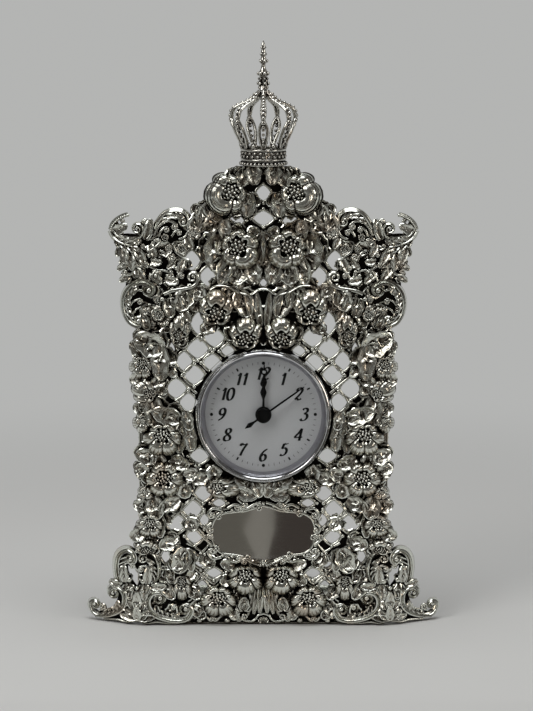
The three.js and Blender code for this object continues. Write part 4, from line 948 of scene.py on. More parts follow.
BRACKET_FLOWERS = [
    (41.8, 198.8, 3.6, PAIR), (47.2, 193.8, 2.9, PAIR), (54.3, 165.2, 4.6, BOWL), (50.6, 204.6, 2.3, HOOD),
    (55.2, 201.2, 2.9, HOOD), (62.2, 198.6, 2.8, HOOD), (48.6, 198.8, 2.6, BUD), (60.0, 165.2, 3.4, PAIR),
    (58.0, 159.6, 3.0, BUD), (54.4, 172.6, 3.0, BUD),
]
for u, v, radius, form in BRACKET_FLOWERS:
    add_flower(bracket, (u, v, 1.0), BRACKET_LEAN, radius, BRACKET_TALL, form, False)
FEATHER_TURN = math.radians(36)


def add_feathers(shape, points, side, reach, width, count):
    path = smooth_path(points)
    rims = []
    for number in range(count):
        place = round((number + 0.5) / count * (len(path) - 2))
        (u, v), (next_u, next_v) = path[place], path[place + 1]
        heading = math.atan2(next_v - v, next_u - u) + side * FEATHER_TURN
        tip = (u + reach * math.cos(heading), v + reach * math.sin(heading), 1.4)
        rims += add_lobe(shape, (u, v, 0.9), tip, width)
    return rims


BRACKET_FEATHERS = [
    ([(63.6, 180.6), (68.2, 178.0), (70.9, 174.2), (71.7, 169.6), (70.8, 164.4)], -1, 6.0, 1.2, 6),
    ([(54.6, 211.2), (50.4, 215.8), (46.4, 217.0), (42.4, 216.6)], 1, 5.4, 1.2, 5),
    ([(77.0, 203.8), (73.2, 201.4), (69.0, 200.2), (65.0, 199.7)], 1, 4.6, 1.1, 4),
    ([(77.0, 204.4), (73.2, 202.0), (69.0, 200.8), (65.4, 200.3)], -1, 4.8, 1.1, 4),
]
rims = []
for points, side, reach, width, count in BRACKET_FEATHERS:
    rims += add_feathers(bracket, points, side, reach, width, count)
BRACKET_LEAVES = [
    ((77.4, 206.6, 0.6), (70.2, 210.4, 1), 2.0), ((72.6, 199.0, 0), (71.0, 190.6, 1), 2.2),
    ((68.6, 196, 0.4), (67.4, 187.6, 1), 1.8), ((70, 191, 0), (75.0, 187, 0.5), 1.5),
    ((69, 184.6, 0), (74.0, 181, 0.5), 1.5), ((60.4, 203, 0), (57.6, 213.6, 0.8), 2.0),
    ((57.6, 191.8, 0.2), (52.6, 191.4, 0.8), 1.5), ((45.6, 191.0, 0.2), (49.2, 188.4, 0.8), 1.3),
    ((57.4, 186.4, 0), (52.4, 180.6, 0.8), 1.8), ((50.6, 182.6, 0), (44.0, 181.2, 0.6), 1.8),
    ((49.6, 172.6, 0.6), (47.4, 163.0, 1.4), 2.6), ((46.6, 174.4, 0.3), (41.6, 166.4, 1), 2.4),
    ((41, 175.4, 0.3), (36.4, 168, 0.8), 2.2), ((64.8, 198, 0.4), (60.8, 190.4, 1), 2.0),
    ((65.4, 188, 0.4), (61.2, 182.4, 0.8), 1.9), ((58.4, 200.4, 0.2), (55.4, 194.4, 0.8), 1.8),
    ((39.4, 204, 0.2), (36.4, 198.6, 0.6), 1.8), ((40.8, 166, 0.2), (37.6, 160.4, 0.8), 1.8),
    ((40.6, 193, 0.2), (43.6, 186, 0.8), 1.8), ((62.4, 164.4, 0.6), (59.4, 156.6, 1.2), 2.0),
]
for base, tip, width in BRACKET_LEAVES:
    rims += add_leaf(bracket, base, tip, width)
add_wires(bracket, rims, fineness=1)
BRACKET_PEARLS = [
    (58.8, 195.0, 1.3), (60.4, 191.6, 1.2), (44.6, 188.4, 1.3), (47.4, 186.6, 1.2), (55.4, 184.6, 1.2),
    (46.4, 183.8, 1.0), (49.4, 184.6, 1.0), (52.2, 172.4, 1.3), (49.6, 160, 1.2), (72.4, 209.2, 1.0),
    (66.6, 201.4, 0.7), (68.8, 201.8, 0.7), (71.0, 202.4, 0.7),
]
for u, v, radius in BRACKET_PEARLS:
    add_bead(bracket, spot(u, v, PEARL_RISE), radius)
bracket_web = [
    (61, 158), (66, 159), (70, 163), (71.4, 172), (71, 180), (71, 186), (72.4, 191), (74, 199), (77, 205),
    (70, 206), (62, 206), (55, 211), (48, 215), (41, 215), (37, 209), (42, 200), (44, 190), (36, 186),
    (38, 179), (48, 176), (52, 168),
]
web_holes = [rounded_diamond(57.6, 193, 2.6, 1.6), rounded_diamond(51, 188.4, 4.0, 2.0)]


def folded_web(loops):
    web = new_shape()
    add_plate(web, loops, 0.0, WEB_THICK, WEB_RIM)
    darken_front(web)
    every = web.verts[:] + web.edges[:] + web.faces[:]
    bmesh.ops.bisect_plane(web, geom=every, plane_co=(FOLD_X, 0, 0), plane_no=(1, 0, 0))
    for vert in web.verts:
        vert.co.y += max(0.0, vert.co.x - FOLD_X) * FOLD_SLOPE
    return web


settle_pair(folded_web([bracket_web] + web_holes), "bracket_web", plate_silver)
settle_pair(bracket, "corner_bracket", bright_silver, stands_for=["upper_bracket"])


# Front feet
# Cast silver scroll feet bent round the front corners: two C-scrolls meet as a lyre with an open middle.
# Below them S-scrolls with feathered leaves spread along the floor to both sides.
LYRE_RISE = 2.8
S_SCROLL_RISE = 3.2
HOOK_RISE = 2.6
foot = new_shape()
FOOT_BANDS = [
    (
        [(57.0, 22.0), (55.4, 25.5), (54.9, 29.4), (55.4, 34.0), (57.6, 38.0), (61.0, 39.2), (64.0, 37.9)],
        2.6, 2, (-1, 2.5, 1.25),
    ),
    (
        [
            (76.2, 22.4), (77.0, 27), (77.2, 31), (76.5, 35), (74.4, 38.2), (71.4, 39.6), (68.6, 38.6),
            (67.3, 36.2),
        ],
        3.6, 3, (1, 2.5, 1.25),
    ),
]
for points, wide, ridges, end in FOOT_BANDS:
    add_band(foot, points, wide, LYRE_RISE, ridges, end=end)
INNER_SCROLL = [
    (55.4, 17.9), (58.4, 16.9), (60.4, 13.8), (60.2, 9.9), (57.6, 6.3), (53.0, 4.0), (48.0, 2.9),
    (43.4, 2.8), (39.8, 4.0), (38.0, 6.6),
]
OUTER_SCROLL = [
    (78.6, 18.9), (75.6, 18.6), (73.2, 15.8), (72.8, 11.8), (74.6, 7.8), (78.4, 5.0), (83.0, 3.3),
    (87.2, 2.9), (90.0, 4.4), (91.3, 7.4),
]
add_band(foot, INNER_SCROLL, 3.4, S_SCROLL_RISE, 3, start=(1, 3.4, 1.3), end=(-1, 3.2, 1.3))
add_band(foot, OUTER_SCROLL, 2.8, S_SCROLL_RISE, 3, start=(-1, 3.0, 1.3), end=(1, 2.4, 1.3))
FOOT_FEATHERS = [
    ([(55.0, 4.9), (57.6, 6.3), (60.2, 9.9), (60.4, 13.8), (59.2, 16.6)], -1, 5.0, 1.2, 5),
    ([(42.4, 3.6), (48.0, 3.4), (53.0, 4.6), (56.4, 7.0)], 1, 4.8, 1.2, 5),
    ([(76.6, 6.2), (74.6, 7.8), (72.8, 11.8), (73.2, 15.8)], 1, 4.8, 1.2, 4),
    ([(88.0, 3.6), (83.0, 3.8), (78.4, 5.4), (75.4, 8.6)], -1, 4.6, 1.2, 5),
    ([(57.6, 23.0), (56.2, 28.0), (57.6, 34.0)], -1, 4.4, 1.0, 4),
    ([(75.4, 23.0), (76.0, 29.0), (74.4, 34.4)], 1, 4.4, 1.0, 4),
]
FOOT_HOOKS = [
    ([(58.6, 24.6), (58.5, 28.0), (59.8, 30.8), (62.1, 31.8), (64.2, 31.2)], 0.75, (-1, 1.4, 1.1)),
    ([(74.4, 24.6), (74.0, 29.0), (72.6, 31.8), (70.4, 33.2), (68.4, 33.0)], 0.75, (1, 1.5, 1.1)),
    ([(88.0, 3.6), (85.6, 3.6), (83.6, 5.0), (83.2, 7.4)], 0.75, (-1, 1.7, 1.2)),
    ([(47.0, 4.4), (45.2, 7.0), (45.6, 9.6)], 0.7, (-1, 1.4, 1.1)),
    (
        [
            (44.0, 0.95), (50.0, 0.95), (56.0, 1.7), (61.0, 0.95), (66.2, 2.6), (71.4, 0.95), (77.0, 1.6),
            (84.0, 0.95),
        ],
        0.75, None,
    ),
]
for points, thick, end in FOOT_HOOKS:
    add_scroll(foot, points, thick, HOOK_RISE, end=end)
rims = []
for points, side, reach, width, count in FOOT_FEATHERS:
    rims += add_feathers(foot, points, side, reach, width, count)
FOOT_LEAVES = [
    ((66.2, 8.6, 1), (66.2, 17.4, 1.6), 2.0), ((65.6, 9.0, 0.8), (61.6, 12.4, 1.6), 1.7),
    ((66.8, 9.0, 0.8), (70.8, 12.4, 1.6), 1.7), ((58.6, 20.4, 0.8), (51.0, 20.6, 1), 1.9),
    ((75.4, 19.6, 0.8), (80.4, 22.4, 1), 1.9), ((62, 21.6, 0.6), (62.6, 13.4, 1.4), 1.7),
    ((70.6, 21.6, 0.6), (70.0, 13.4, 1.4), 1.7), ((60.6, 22.2, 0.6), (60.4, 31.0, 1.0), 1.7),
    ((72.8, 22.2, 0.6), (73.0, 31.0, 1.0), 1.7),
]
for base, tip, width in FOOT_LEAVES:
    rims += add_leaf(foot, base, tip, width)
FLOOR_LOBES = [
    ((65.6, 3.4), (57.4, 4.6), 1.7), ((66.8, 3.4), (75.0, 4.6), 1.7), ((65.2, 3.2), (60.4, 8.0), 1.7),
    ((67.2, 3.2), (72.0, 8.0), 1.7), ((66.2, 2.6), (66.2, 9.4), 2.0),
]
for base, tip, width in FLOOR_LOBES:
    rims += add_lobe(foot, (*base, 1.6), (*tip, 2.2), width)
add_wires(foot, rims, fineness=1)
FOOT_PEARLS = [
    (62.9, 23.4, 1.5), (70.1, 23.8, 1.5), (63.5, 18.4, 1.6), (68.9, 19.0, 1.6), (62.9, 11.2, 1.2),
    (70.1, 11.4, 1.2), (66.2, 19.8, 1.2), (66.0, 39.6, 1.2), (55.0, 21.8, 1.4), (78.2, 22.4, 1.4),
    (80.6, 21.2, 1.0), (66.2, 9.6, 1.6),
]
for u, v, radius in FOOT_PEARLS:
    add_bead(foot, spot(u, v, PEARL_RISE), radius)
foot_web = [
    (37, 1), (89, 1), (90, 3.6), (83, 5), (78.4, 8), (76.6, 13), (76.8, 18), (76.5, 24), (77, 32),
    (73, 38.5), (69, 38.5), (66.2, 33), (63.4, 38.5), (59, 38.5), (55.4, 33), (55, 25), (52, 19), (48, 12),
    (38, 11),
]
lyre_hole = [
    (66.2, 20.8), (68.4, 23.6), (70.6, 28.0), (71.0, 31.2), (68.4, 29.4), (66.8, 30.6), (65.2, 28.8),
    (64.0, 25.2),
]
settle_pair(folded_web([foot_web, lyre_hole]), "foot_web", plate_silver)
settle_pair(foot, "scroll_foot", bright_silver, stands_for=["front_foot"])


# Nameplate and its frame
# A blank silver plate polished to a mirror and held in a wavy cartouche frame of small curls and beads.
# The frame is cast in one piece and soldered to the panel.
PLATE_FOOT = 0.4
PLATE_FRONT = 1.5
PLATE_EDGE = 0.2


def cartouche(grow):
    half = [
        (0, -15.6), (5, -14.2), (10, -12.2), (15, -11.2), (20, -10.6), (23.6, -8.6), (25.6, -5.0),
        (26.8, 0), (26.4, 3.8), (24.6, 7.6), (20.4, 10.2), (15, 11.0), (9, 11.6), (4, 13.2), (0, 14.4),
    ]
    grown = [(u + grow * (u > 0), NAME_HEIGHT + v + math.copysign(grow, v)) for u, v in half]
    right = smooth_path(grown, 4)
    return right + [(-u, v) for u, v in reversed(right[1:-1])]


FRAME_WIRES = [(0.4, 1.9, 0.75), (2.0, 1.2, 0.6)]
FRAME_CURL_RISE = 2.4
surround = new_shape()
for grow, height, thick in FRAME_WIRES:
    add_wires(surround, [[(spot(u, v, height), thick) for u, v in cartouche(grow)]], closed=True)
outer = cartouche(1.4)
for number, (u, v) in enumerate(outer):
    if number % 4 == 0:
        add_bead(surround, spot(u, v, 2.0), 1.0)
    if number % 8 == 2:
        before = outer[number - 1]
        turn = -1 if number % 16 == 2 else 1
        add_scroll(surround, [before, (u, v)], 0.55, FRAME_CURL_RISE, end=(turn, 1.7, 1.2))
FRAME_CURLS = [
    ([(22.0, 61.6), (26.4, 62.4), (28.6, 60.0)], (-1, 2.0, 1.2)),
    ([(22.0, 36.4), (26.4, 35.6), (28.6, 38.0)], (1, 2.0, 1.2)),
    ([(27.0, 54.6), (29.4, 52.6), (29.2, 50.4)], (-1, 1.5, 1.2)),
    ([(27.0, 43.4), (29.4, 45.4), (29.2, 47.6)], (1, 1.5, 1.2)),
    ([(1.4, 65.6), (5.0, 64.4), (8.4, 62.4)], (1, 1.7, 1.2)),
    ([(1.2, 31.8), (5.0, 33.0), (9.0, 35.2)], (-1, 1.7, 1.2)),
    ([(18.6, 62.6), (15.0, 64.4), (11.6, 63.6)], (1, 1.5, 1.2)),
    ([(18.6, 35.4), (15.0, 33.8), (12.4, 34.4)], (-1, 1.4, 1.2)),
]
for points, (turn, radius, turns) in FRAME_CURLS:
    for side in (1, -1):
        mirrored = [(side * u, v) for u, v in points]
        add_scroll(surround, mirrored, 0.85, FRAME_CURL_RISE, end=(side * turn, radius, turns))
settle(surround, "cartouche_frame", bright_silver, stands_for=["nameplate_frame"])

plate = new_shape()
add_plate(plate, [cartouche(0)], PLATE_FOOT, PLATE_FRONT, PLATE_EDGE)
polished, shader, tone = start_finish("polished_silver")
place = object_place(tone)
stretched = tone.node("ShaderNodeMapping", inputs={"Vector": place, "Scale": (1, 1, 14)})
swirl = noise(tone, stretched, 160.0, 3.0)
wave = noise(tone, place, 22.0)
feed(shader, "Base Color", blend_colour(tone, swirl, (0.62, 0.60, 0.57, 1), (0.72, 0.70, 0.67, 1)))
feed(shader, "Metallic", 1.0)
feed(shader, "Roughness", 0.03 + swirl * 0.06)
feed_relief(shader, tone, wave, 0.05, 0.004)
settle(plate, "mirror_plate", polished, stands_for=["nameplate"])


# Crown
# A silver crown on its seat: a beaded band, seven pearled arches that meet at a boss, and a leafy spire.
# Each arch is a pair of cast rods with a bud and pearls on the outside, soldered to the band and the boss.
CROWN_Y = (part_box("crown_spire")[0][1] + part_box("crown_spire")[1][1]) / 2 / MM
ARCHES = 7
ARCH_PROFILE = [
    (10.9, 250.2), (12.8, 254.5), (14.8, 258.6), (16.4, 262.6), (16.9, 266.4), (15.7, 270.0),
    (12.2, 272.2), (7.8, 274.2), (4.6, 276.8), (2.8, 279.2),
]
BUD_SHARE = 0.40
RING_STEPS = 48
BUD_SPREAD = 0.15
TOP_SPREAD = 0.07
BLOSSOM_EYE = (11.6, 251.6, 1.2)
BLOSSOM_HEIGHT = 251.7
BLOSSOM_OUT = 11.3
BLOSSOM_WIDE = 1.75 / 11.4
BLOSSOM_TALL = 1.5
BLOSSOM_PETAL = 0.72
BLOSSOM_PETALS = 6
aged_silver = silver_finish("aged_silver", (0.74, 0.74, 0.69, 1), (0.20, 0.165, 0.13, 1), 0.55, 1.08)


def crown_spot(radius, angle, height):
    return Vector((radius * math.sin(angle), CROWN_Y - radius * math.cos(angle), height))


def crown_ring(radius, height):
    return [crown_spot(radius, math.tau * step / RING_STEPS, height) for step in range(RING_STEPS)]


def add_bead_ring(shape, radius, height, count, bead, turn=0.0):
    for number in range(count):
        add_bead(shape, crown_spot(radius, math.tau * (number + turn) / count, height), bead)


def spin_profile(shape, points, axis, sides, merge, shift):
    corners = [shape.verts.new(point) for point in points]
    edges = [shape.edges.new(pair) for pair in zip(corners, corners[1:])]
    bmesh.ops.spin(
        shape, geom=corners + edges, cent=(0, 0, 0), axis=axis, dvec=(0, 0, 0), angle=math.tau,
        steps=sides, use_merge=True,
    )
    bmesh.ops.remove_doubles(shape, verts=shape.verts, dist=merge)
    bmesh.ops.recalc_face_normals(shape, faces=shape.faces)
    bmesh.ops.translate(shape, vec=shift, verts=shape.verts)


def add_turned(shape, profile, sides=32):
    points = [(radius, 0, height) for radius, height in profile]
    spin_profile(shape, points, (0, 0, 1), sides, 0.001, (0, CROWN_Y, 0))


SEAT_PROFILE = [
    (0.01, 241.3), (11.4, 241.3), (11.7, 241.8), (11.2, 242.4), (10.6, 243.25), (0.01, 243.25),
]
SEAT_BEADS = (11.6, 242.3, 34, 0.95)
seat = new_shape()
add_turned(seat, SEAT_PROFILE)
add_bead_ring(seat, *SEAT_BEADS)
settle(seat, "beaded_seat", aged_silver, stands_for=["crown_seat"])

BAND_PROFILE = [(9.6, 243.7), (11.0, 243.7), (11.0, 249.9), (9.6, 249.9), (9.6, 243.7)]
BAND_RINGS = [(11.1, 244.4, 0.75), (11.1, 249.4, 0.8)]
BAND_PEARL_ROWS = [(246.0, 0.0), (247.8, 0.5)]
BAND_PEARLS = 24
BAND_PEARL_OUT = 11.05
BAND_PEARL = 0.92
band = new_shape()
add_turned(band, BAND_PROFILE, RING_STEPS)
rings = [[(point, thick) for point in crown_ring(radius, height)] for radius, height, thick in BAND_RINGS]
add_wires(band, rings, closed=True)
for height, turn in BAND_PEARL_ROWS:
    add_bead_ring(band, BAND_PEARL_OUT, height, BAND_PEARLS, BAND_PEARL, turn)
settle(band, "crown_circlet", aged_silver, stands_for=["crown_band"])


def arch_spread(share):
    if share < BUD_SHARE:
        return BUD_SPREAD * math.sin(math.pi * share / BUD_SHARE) ** 0.8
    return TOP_SPREAD * math.sin(math.pi * (share - BUD_SHARE) / (1 - BUD_SHARE)) ** 0.5


ARCH_PATH = smooth_path(ARCH_PROFILE, 5)
ARCH_LAST = len(ARCH_PATH) - 1
ARCH_INSET = 0.4
ARCH_THICK = 0.95
ARCH_THINNER = 0.2
BUD_STEP = round(BUD_SHARE * ARCH_LAST)
UPPER_PEARLS = [(step, 0.45, 1.1) for step in range(BUD_STEP + 2, ARCH_LAST - 3, 3)]
LOWER_PEARLS = [(step, 0.3, 0.85) for step in range(3, BUD_STEP - 6, 3)]
BUD_PEARLS = [(BUD_STEP - 6, 0, 0.8), (BUD_STEP - 4, 0, 1.2), (BUD_STEP - 1, 0, 1.45), (BUD_STEP + 1, 0, 1.0)]


def arch_rod(angle, side):
    rod = []
    for step, (radius, height) in enumerate(ARCH_PATH):
        turn = angle + side * arch_spread(step / ARCH_LAST)
        thick = ARCH_THICK - ARCH_THINNER * step / ARCH_LAST
        rod.append((crown_spot(radius - ARCH_INSET, turn, height), thick))
    return rod


def add_blossom(shape, angle):
    out, height, radius = BLOSSOM_EYE
    add_bead(shape, crown_spot(out, angle, height), radius)
    for petal in range(BLOSSOM_PETALS):
        turn = math.tau * petal / BLOSSOM_PETALS
        aside = angle + BLOSSOM_WIDE * math.cos(turn)
        height = BLOSSOM_HEIGHT + BLOSSOM_TALL * math.sin(turn)
        add_bead(shape, crown_spot(BLOSSOM_OUT, aside, height), BLOSSOM_PETAL)


for number in range(ARCHES):
    angle = math.tau * number / ARCHES
    arch = new_shape()
    add_wires(arch, [arch_rod(angle, side) for side in (-1, 1)])
    for step, out, size in UPPER_PEARLS + LOWER_PEARLS + BUD_PEARLS:
        radius, height = ARCH_PATH[step]
        add_bead(arch, crown_spot(radius + out, angle, height), size)
    add_blossom(arch, angle + math.pi / ARCHES)
    settle(arch, f"pearled_arch_{number + 1}", aged_silver, stands_for=[f"crown_arch_{number + 1}"])

spire = new_shape()
SPIRE_PROFILE = [
    (0.01, 279.8), (2.6, 279.9), (2.0, 281.5), (1.6, 284), (1.9, 286), (2.4, 287.6), (1.9, 289.4),
    (1.2, 291), (1.1, 292.6), (1.8, 294), (1.6, 295.4), (1.1, 296.6), (1.4, 298), (1.2, 299.4),
    (0.9, 300.4), (1.1, 301.6), (0.9, 302.8), (0.5, 304), (0.01, 304.9),
]
FLUTE = [(2.4, 280.5, 0.5), (1.6, 283, 0.5), (2.2, 285.2, 0.35)]
add_turned(spire, SPIRE_PROFILE, 20)
flutes = []
for number in range(ARCHES):
    turn = math.tau * number / ARCHES
    flutes.append([(crown_spot(radius, turn, height), thick) for radius, height, thick in FLUTE])
add_wires(spire, flutes)
SPIRE_BEADS = (
    (2.7, 283.0, 6, 0.9), (2.4, 285.4, 7, 0.6), (2.5, 288.0, 7, 1.0), (1.7, 294.4, 5, 0.95),
    (1.3, 297.8, 4, 0.75), (1.1, 301.2, 4, 0.6),
)
for radius, height, count, bead in SPIRE_BEADS:
    add_bead_ring(spire, radius, height, count, bead, 0.3)
settle(spire, "leaf_spire", aged_silver, stands_for=["crown_spire"])


# Side panels
# Pierced silver panels that go back from the front panel, with a diamond lattice edged in round wire.
# Rosettes sit on the crossings up the middle, and mouldings finish the top, the foot and both edges.
SIDE_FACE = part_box("right_side_panel")[1][0] / MM
SIDE_HALF = (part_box("right_side_panel")[1][1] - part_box("right_side_panel")[0][1]) / 2 / MM
SIDE_MIDDLE = (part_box("right_side_panel")[1][1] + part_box("right_side_panel")[0][1]) / 2 / MM
SIDE_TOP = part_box("right_side_panel")[1][2] / MM
SIDE_THICK = 2.0
SIDE_ACROSS = 14.4
SIDE_UP = 7.6
SIDE_FIRST = 44
SIDE_FIRST_KNOT = 51.6
SIDE_REACH_OUT = 17
SIDE_LAST = 192
SIDE_LAST_KNOT = 198
SIDE_KNOT = 1.3
SIDE_WIRE_OUT = 0.5
SIDE_OPENING = (5.4, 5.7)
SIDE_SINK = 0.3
TOP_BEADS = 16
TOP_BEAD = 1.2


def turn_to_side(shape, face, middle):
    bmesh.ops.rotate(shape, cent=(0, 0, 0), matrix=Matrix.Rotation(math.pi / 2, 3, "Z"), verts=shape.verts)
    bmesh.ops.translate(shape, vec=(face + PANEL_FACE, middle, 0), verts=shape.verts)


side = new_shape()
side_lattice = new_shape()
side_edge = [
    (-SIDE_HALF, 0.2), (-14, 0.2), (-9, 14), (9, 14), (14, 0.2), (SIDE_HALF, 0.2), (SIDE_HALF, SIDE_TOP),
    (-SIDE_HALF, SIDE_TOP),
]
side_openings = []
for row in range(24):
    for column in range(-2, 3):
        u = column * SIDE_ACROSS + (row % 2) * SIDE_ACROSS / 2
        v = SIDE_FIRST + row * SIDE_UP
        if abs(u) < SIDE_REACH_OUT and v < SIDE_LAST:
            side_openings.append((u, v, *SIDE_OPENING))
rims = []
for u, v, wide, tall in side_openings:
    rim = rounded_diamond(u, v, wide + SIDE_WIRE_OUT, tall + SIDE_WIRE_OUT)
    rims.append([(spot(x, y, 0.0), WIRE_RADIUS) for x, y in rim])
add_wires(side_lattice, rims, closed=True, fineness=1)
for row in range(23):
    for column in range(-1, 2):
        u = column * SIDE_ACROSS + (row % 2) * SIDE_ACROSS / 2
        v = SIDE_FIRST_KNOT + row * SIDE_UP
        if abs(u) < SIDE_REACH_OUT and v < SIDE_LAST_KNOT and (row % 3 or abs(u) > 1):
            add_bead(side_lattice, spot(u, v, 0.4), SIDE_KNOT)
side_plate_loops = [side_edge] + [rounded_diamond(*opening) for opening in side_openings]
add_plate(side, side_plate_loops, -SIDE_THICK, -SIDE_SINK, PLATE_RIM)
turn_to_side(side, SIDE_FACE, SIDE_MIDDLE)
settle_pair(side, "side_plate", plate_silver, stands_for=["side_panel"])

mouldings_high = [(SIDE_TOP - 1.2, 0.9), (SIDE_TOP - 6.4, 0.7), (38.4, 0.8), (34.6, 0.6)]
for v, thick in mouldings_high:
    ends = (-SIDE_HALF + 0.8, SIDE_HALF - 0.8)
    add_wires(side_lattice, [[(spot(u, v, 0.3), thick) for u in ends]])
for number in range(TOP_BEADS):
    u = -SIDE_HALF + 2 + number * (2 * SIDE_HALF - 4) / (TOP_BEADS - 1)
    add_bead(side_lattice, spot(u, SIDE_TOP - 3.8, 0.3), TOP_BEAD)
for u in (-SIDE_HALF + 0.9, SIDE_HALF - 0.9):
    add_wires(side_lattice, [[(spot(u, 1.0, 0.2), 0.8), (spot(u, SIDE_TOP - 0.8, 0.2), 0.8)]])
arcade = smooth_path([(-14, 0.9), (-11.4, 9), (-8, 14.8), (0, 17.2), (8, 14.8), (11.4, 9), (14, 0.9)])
add_wires(side_lattice, [[(spot(u, v, 0.3), 0.9) for u, v in arcade]])
turn_to_side(side_lattice, SIDE_FACE, SIDE_MIDDLE)
settle_pair(side_lattice, "side_lattice", bright_silver)

ROSETTES = [(26.4, 6.0), (59.2, 5.6), (104.8, 5.6), (150.4, 5.6)]
ROSETTE_LEAN = (0.0, 0.08)
ROSETTE_LEAVES = 6
ROSETTE_ROOT = 0.7
ROSETTE_TIP = 1.55
for number, (v, radius) in enumerate(ROSETTES):
    rosette = new_shape()
    add_flower(rosette, (0, v, 0.3), ROSETTE_LEAN, radius, 1.0, PAIR, False)
    rims = []
    for step in range(ROSETTE_LEAVES):
        turn = math.radians(30 + 60 * step)
        root, tip = [
            (share * radius * math.cos(turn), v + share * radius * math.sin(turn), height)
            for share, height in ((ROSETTE_ROOT, 0), (ROSETTE_TIP, 0.2))
        ]
        rims += add_lobe(rosette, root, tip, 2.0, 0.6)
    add_wires(rosette, rims, fineness=1)
    turn_to_side(rosette, SIDE_FACE, SIDE_MIDDLE)
    settle_pair(rosette, f"side_rosette_{number + 1}", bright_silver)


# Rear feet
# Low scroll feet cast in silver and fixed to the outside of the side panels at the back corners.
# A C-scroll rises along the corner and a leaf scroll runs forward along the floor.
REAR_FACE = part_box("right_rear_foot")[0][0] / MM
REAR_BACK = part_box("right_rear_foot")[1][1] / MM
rear = new_shape()
rear_web = new_shape()
rear_outline = [
    (-28, 0.3), (-0.6, 0.3), (-1.2, 10), (-2.6, 18), (-2.2, 26), (-4, 32), (-7, 33), (-10.4, 29),
    (-12, 20), (-15, 13), (-19, 9), (-24, 10.4), (-27.6, 8),
]
add_plate(rear_web, [rear_outline], 0.1, WEB_THICK, WEB_RIM)
REAR_SCROLLS = [
    ([(-1.6, 1.2), (-1.4, 10), (-2.8, 19), (-2.4, 26.5), (-4.8, 32)], 1.0, 1.5, (1, 2.8, 1.2)),
    ([(-2, 1.4), (-10, 1.3), (-19, 1.4), (-25, 2.4)], 1.0, 1.5, (-1, 3.4, 1.2)),
    ([(-11.6, 25), (-13, 18), (-17, 11.4), (-22, 9.6)], 0.8, 1.4, (1, 2.4, 1.0)),
]
for points, thick, height, end in REAR_SCROLLS:
    add_scroll(rear, points, thick, height, end=end)
rims = []
REAR_LEAVES = [
    ((-6.4, 4, 0.6), (-7.4, 24, 0.8), 2.6), ((-10, 3.4, 0.6), (-20, 5.4, 0.8), 1.8),
    ((-10.6, 7, 0.6), (-13, 14, 0.8), 1.8),
]
for base, tip, width in REAR_LEAVES:
    rims += add_lobe(rear, base, tip, width)
add_wires(rear, rims, fineness=1)
for piece, name, finish, nodes in (
    (rear_web, "rear_foot_web", plate_silver, []), (rear, "rear_scroll_foot", bright_silver, ["rear_foot"]),
):
    turn_to_side(piece, REAR_FACE, REAR_BACK)
    settle_pair(piece, name, finish, stands_for=nodes)


# Back rails
# Two silver bars across the open back that hold the side panels apart, soldered at their ends.
# Each one has a half-round moulding along both edges and a row of beads between them.
RAIL_BEADS = 31
RAIL_BEAD = 0.95
RAIL_WIRE = 0.5
for rail in ("lower_back_rail", "upper_back_rail"):
    low, high = [[value / MM for value in corner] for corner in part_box(rail)]
    bar = new_shape()
    block = bmesh.ops.create_cube(bar, size=1.0)["verts"]
    bmesh.ops.scale(bar, vec=(high[0] - low[0], high[1] - low[1] - 0.8, high[2] - low[2]), verts=block)
    centre = [(a + b) / 2 for a, b in zip(low, high)]
    bmesh.ops.translate(bar, vec=centre, verts=block)
    bmesh.ops.bevel(
        bar, geom=bar.edges[:], offset=0.35, offset_type="OFFSET", affect="EDGES", segments=2, profile=0.5,
        material=-1,
    )
    strands = []
    for y in (low[1] + 0.5, high[1] - 0.5):
        for z in (low[2] + 1.1, high[2] - 1.1):
            strands.append([(Vector((x, y, z)), RAIL_WIRE) for x in (low[0] + 1, high[0] - 1)])
    add_wires(bar, strands)
    for number in range(RAIL_BEADS):
        along = low[0] + 4 + number * (high[0] - low[0] - 8) / (RAIL_BEADS - 1)
        for y in (low[1] + 0.55, high[1] - 0.55):
            add_bead(bar, Vector((along, y, centre[2])), RAIL_BEAD)
    settle(bar, "beaded_" + rail, bright_silver, stands_for=[rail])


# Dial collar
# A plain silver sleeve soldered behind the panel that takes the clock insert.
# It keeps its turned shape and, like the crown's strap and boss, has the same dull silver as the plate.
def finish_nodes(finish, *nodes):
    for node in nodes:
        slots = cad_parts[node].data.materials
        slots.clear()
        slots.append(finish)


finish_nodes(plate_silver, "dial_collar", "crown_strap", "crown_boss")


# Cup and its movement
# A black moulded cup with a rubber gasket, pushed into the collar, with three screws and a battery hatch.
# Inside are a main plate, brass wheels, a steel stator, a copper coil, a green board and a button cell.
def moulded_finish(name, dark, light, rough, scale):
    material, shader, tone = start_finish(name)
    place = object_place(tone)
    grain = noise(tone, place, scale, 3.0)
    cloud = noise(tone, place, 60.0)
    feed(shader, "Base Color", blend_colour(tone, grain * 0.6 + cloud * 0.4, dark, light))
    feed(shader, "Roughness", rough + (grain - 0.5) * 0.2)
    feed_relief(shader, tone, grain, 0.25, 0.0002)
    return material


def brushed_finish(name, dark, light, rough, stretch):
    material, shader, tone = start_finish(name)
    place = object_place(tone)
    drawn = tone.node("ShaderNodeMapping", inputs={"Vector": place, "Scale": stretch})
    streak = noise(tone, drawn, 260.0, 3.0)
    cloud = noise(tone, place, 120.0)
    feed(shader, "Base Color", blend_colour(tone, streak * 0.6 + cloud * 0.4, dark, light))
    feed(shader, "Metallic", 1.0)
    feed(shader, "Roughness", rough + (streak - 0.5) * 0.15)
    feed_relief(shader, tone, streak, 0.15, 0.0001)
    return material


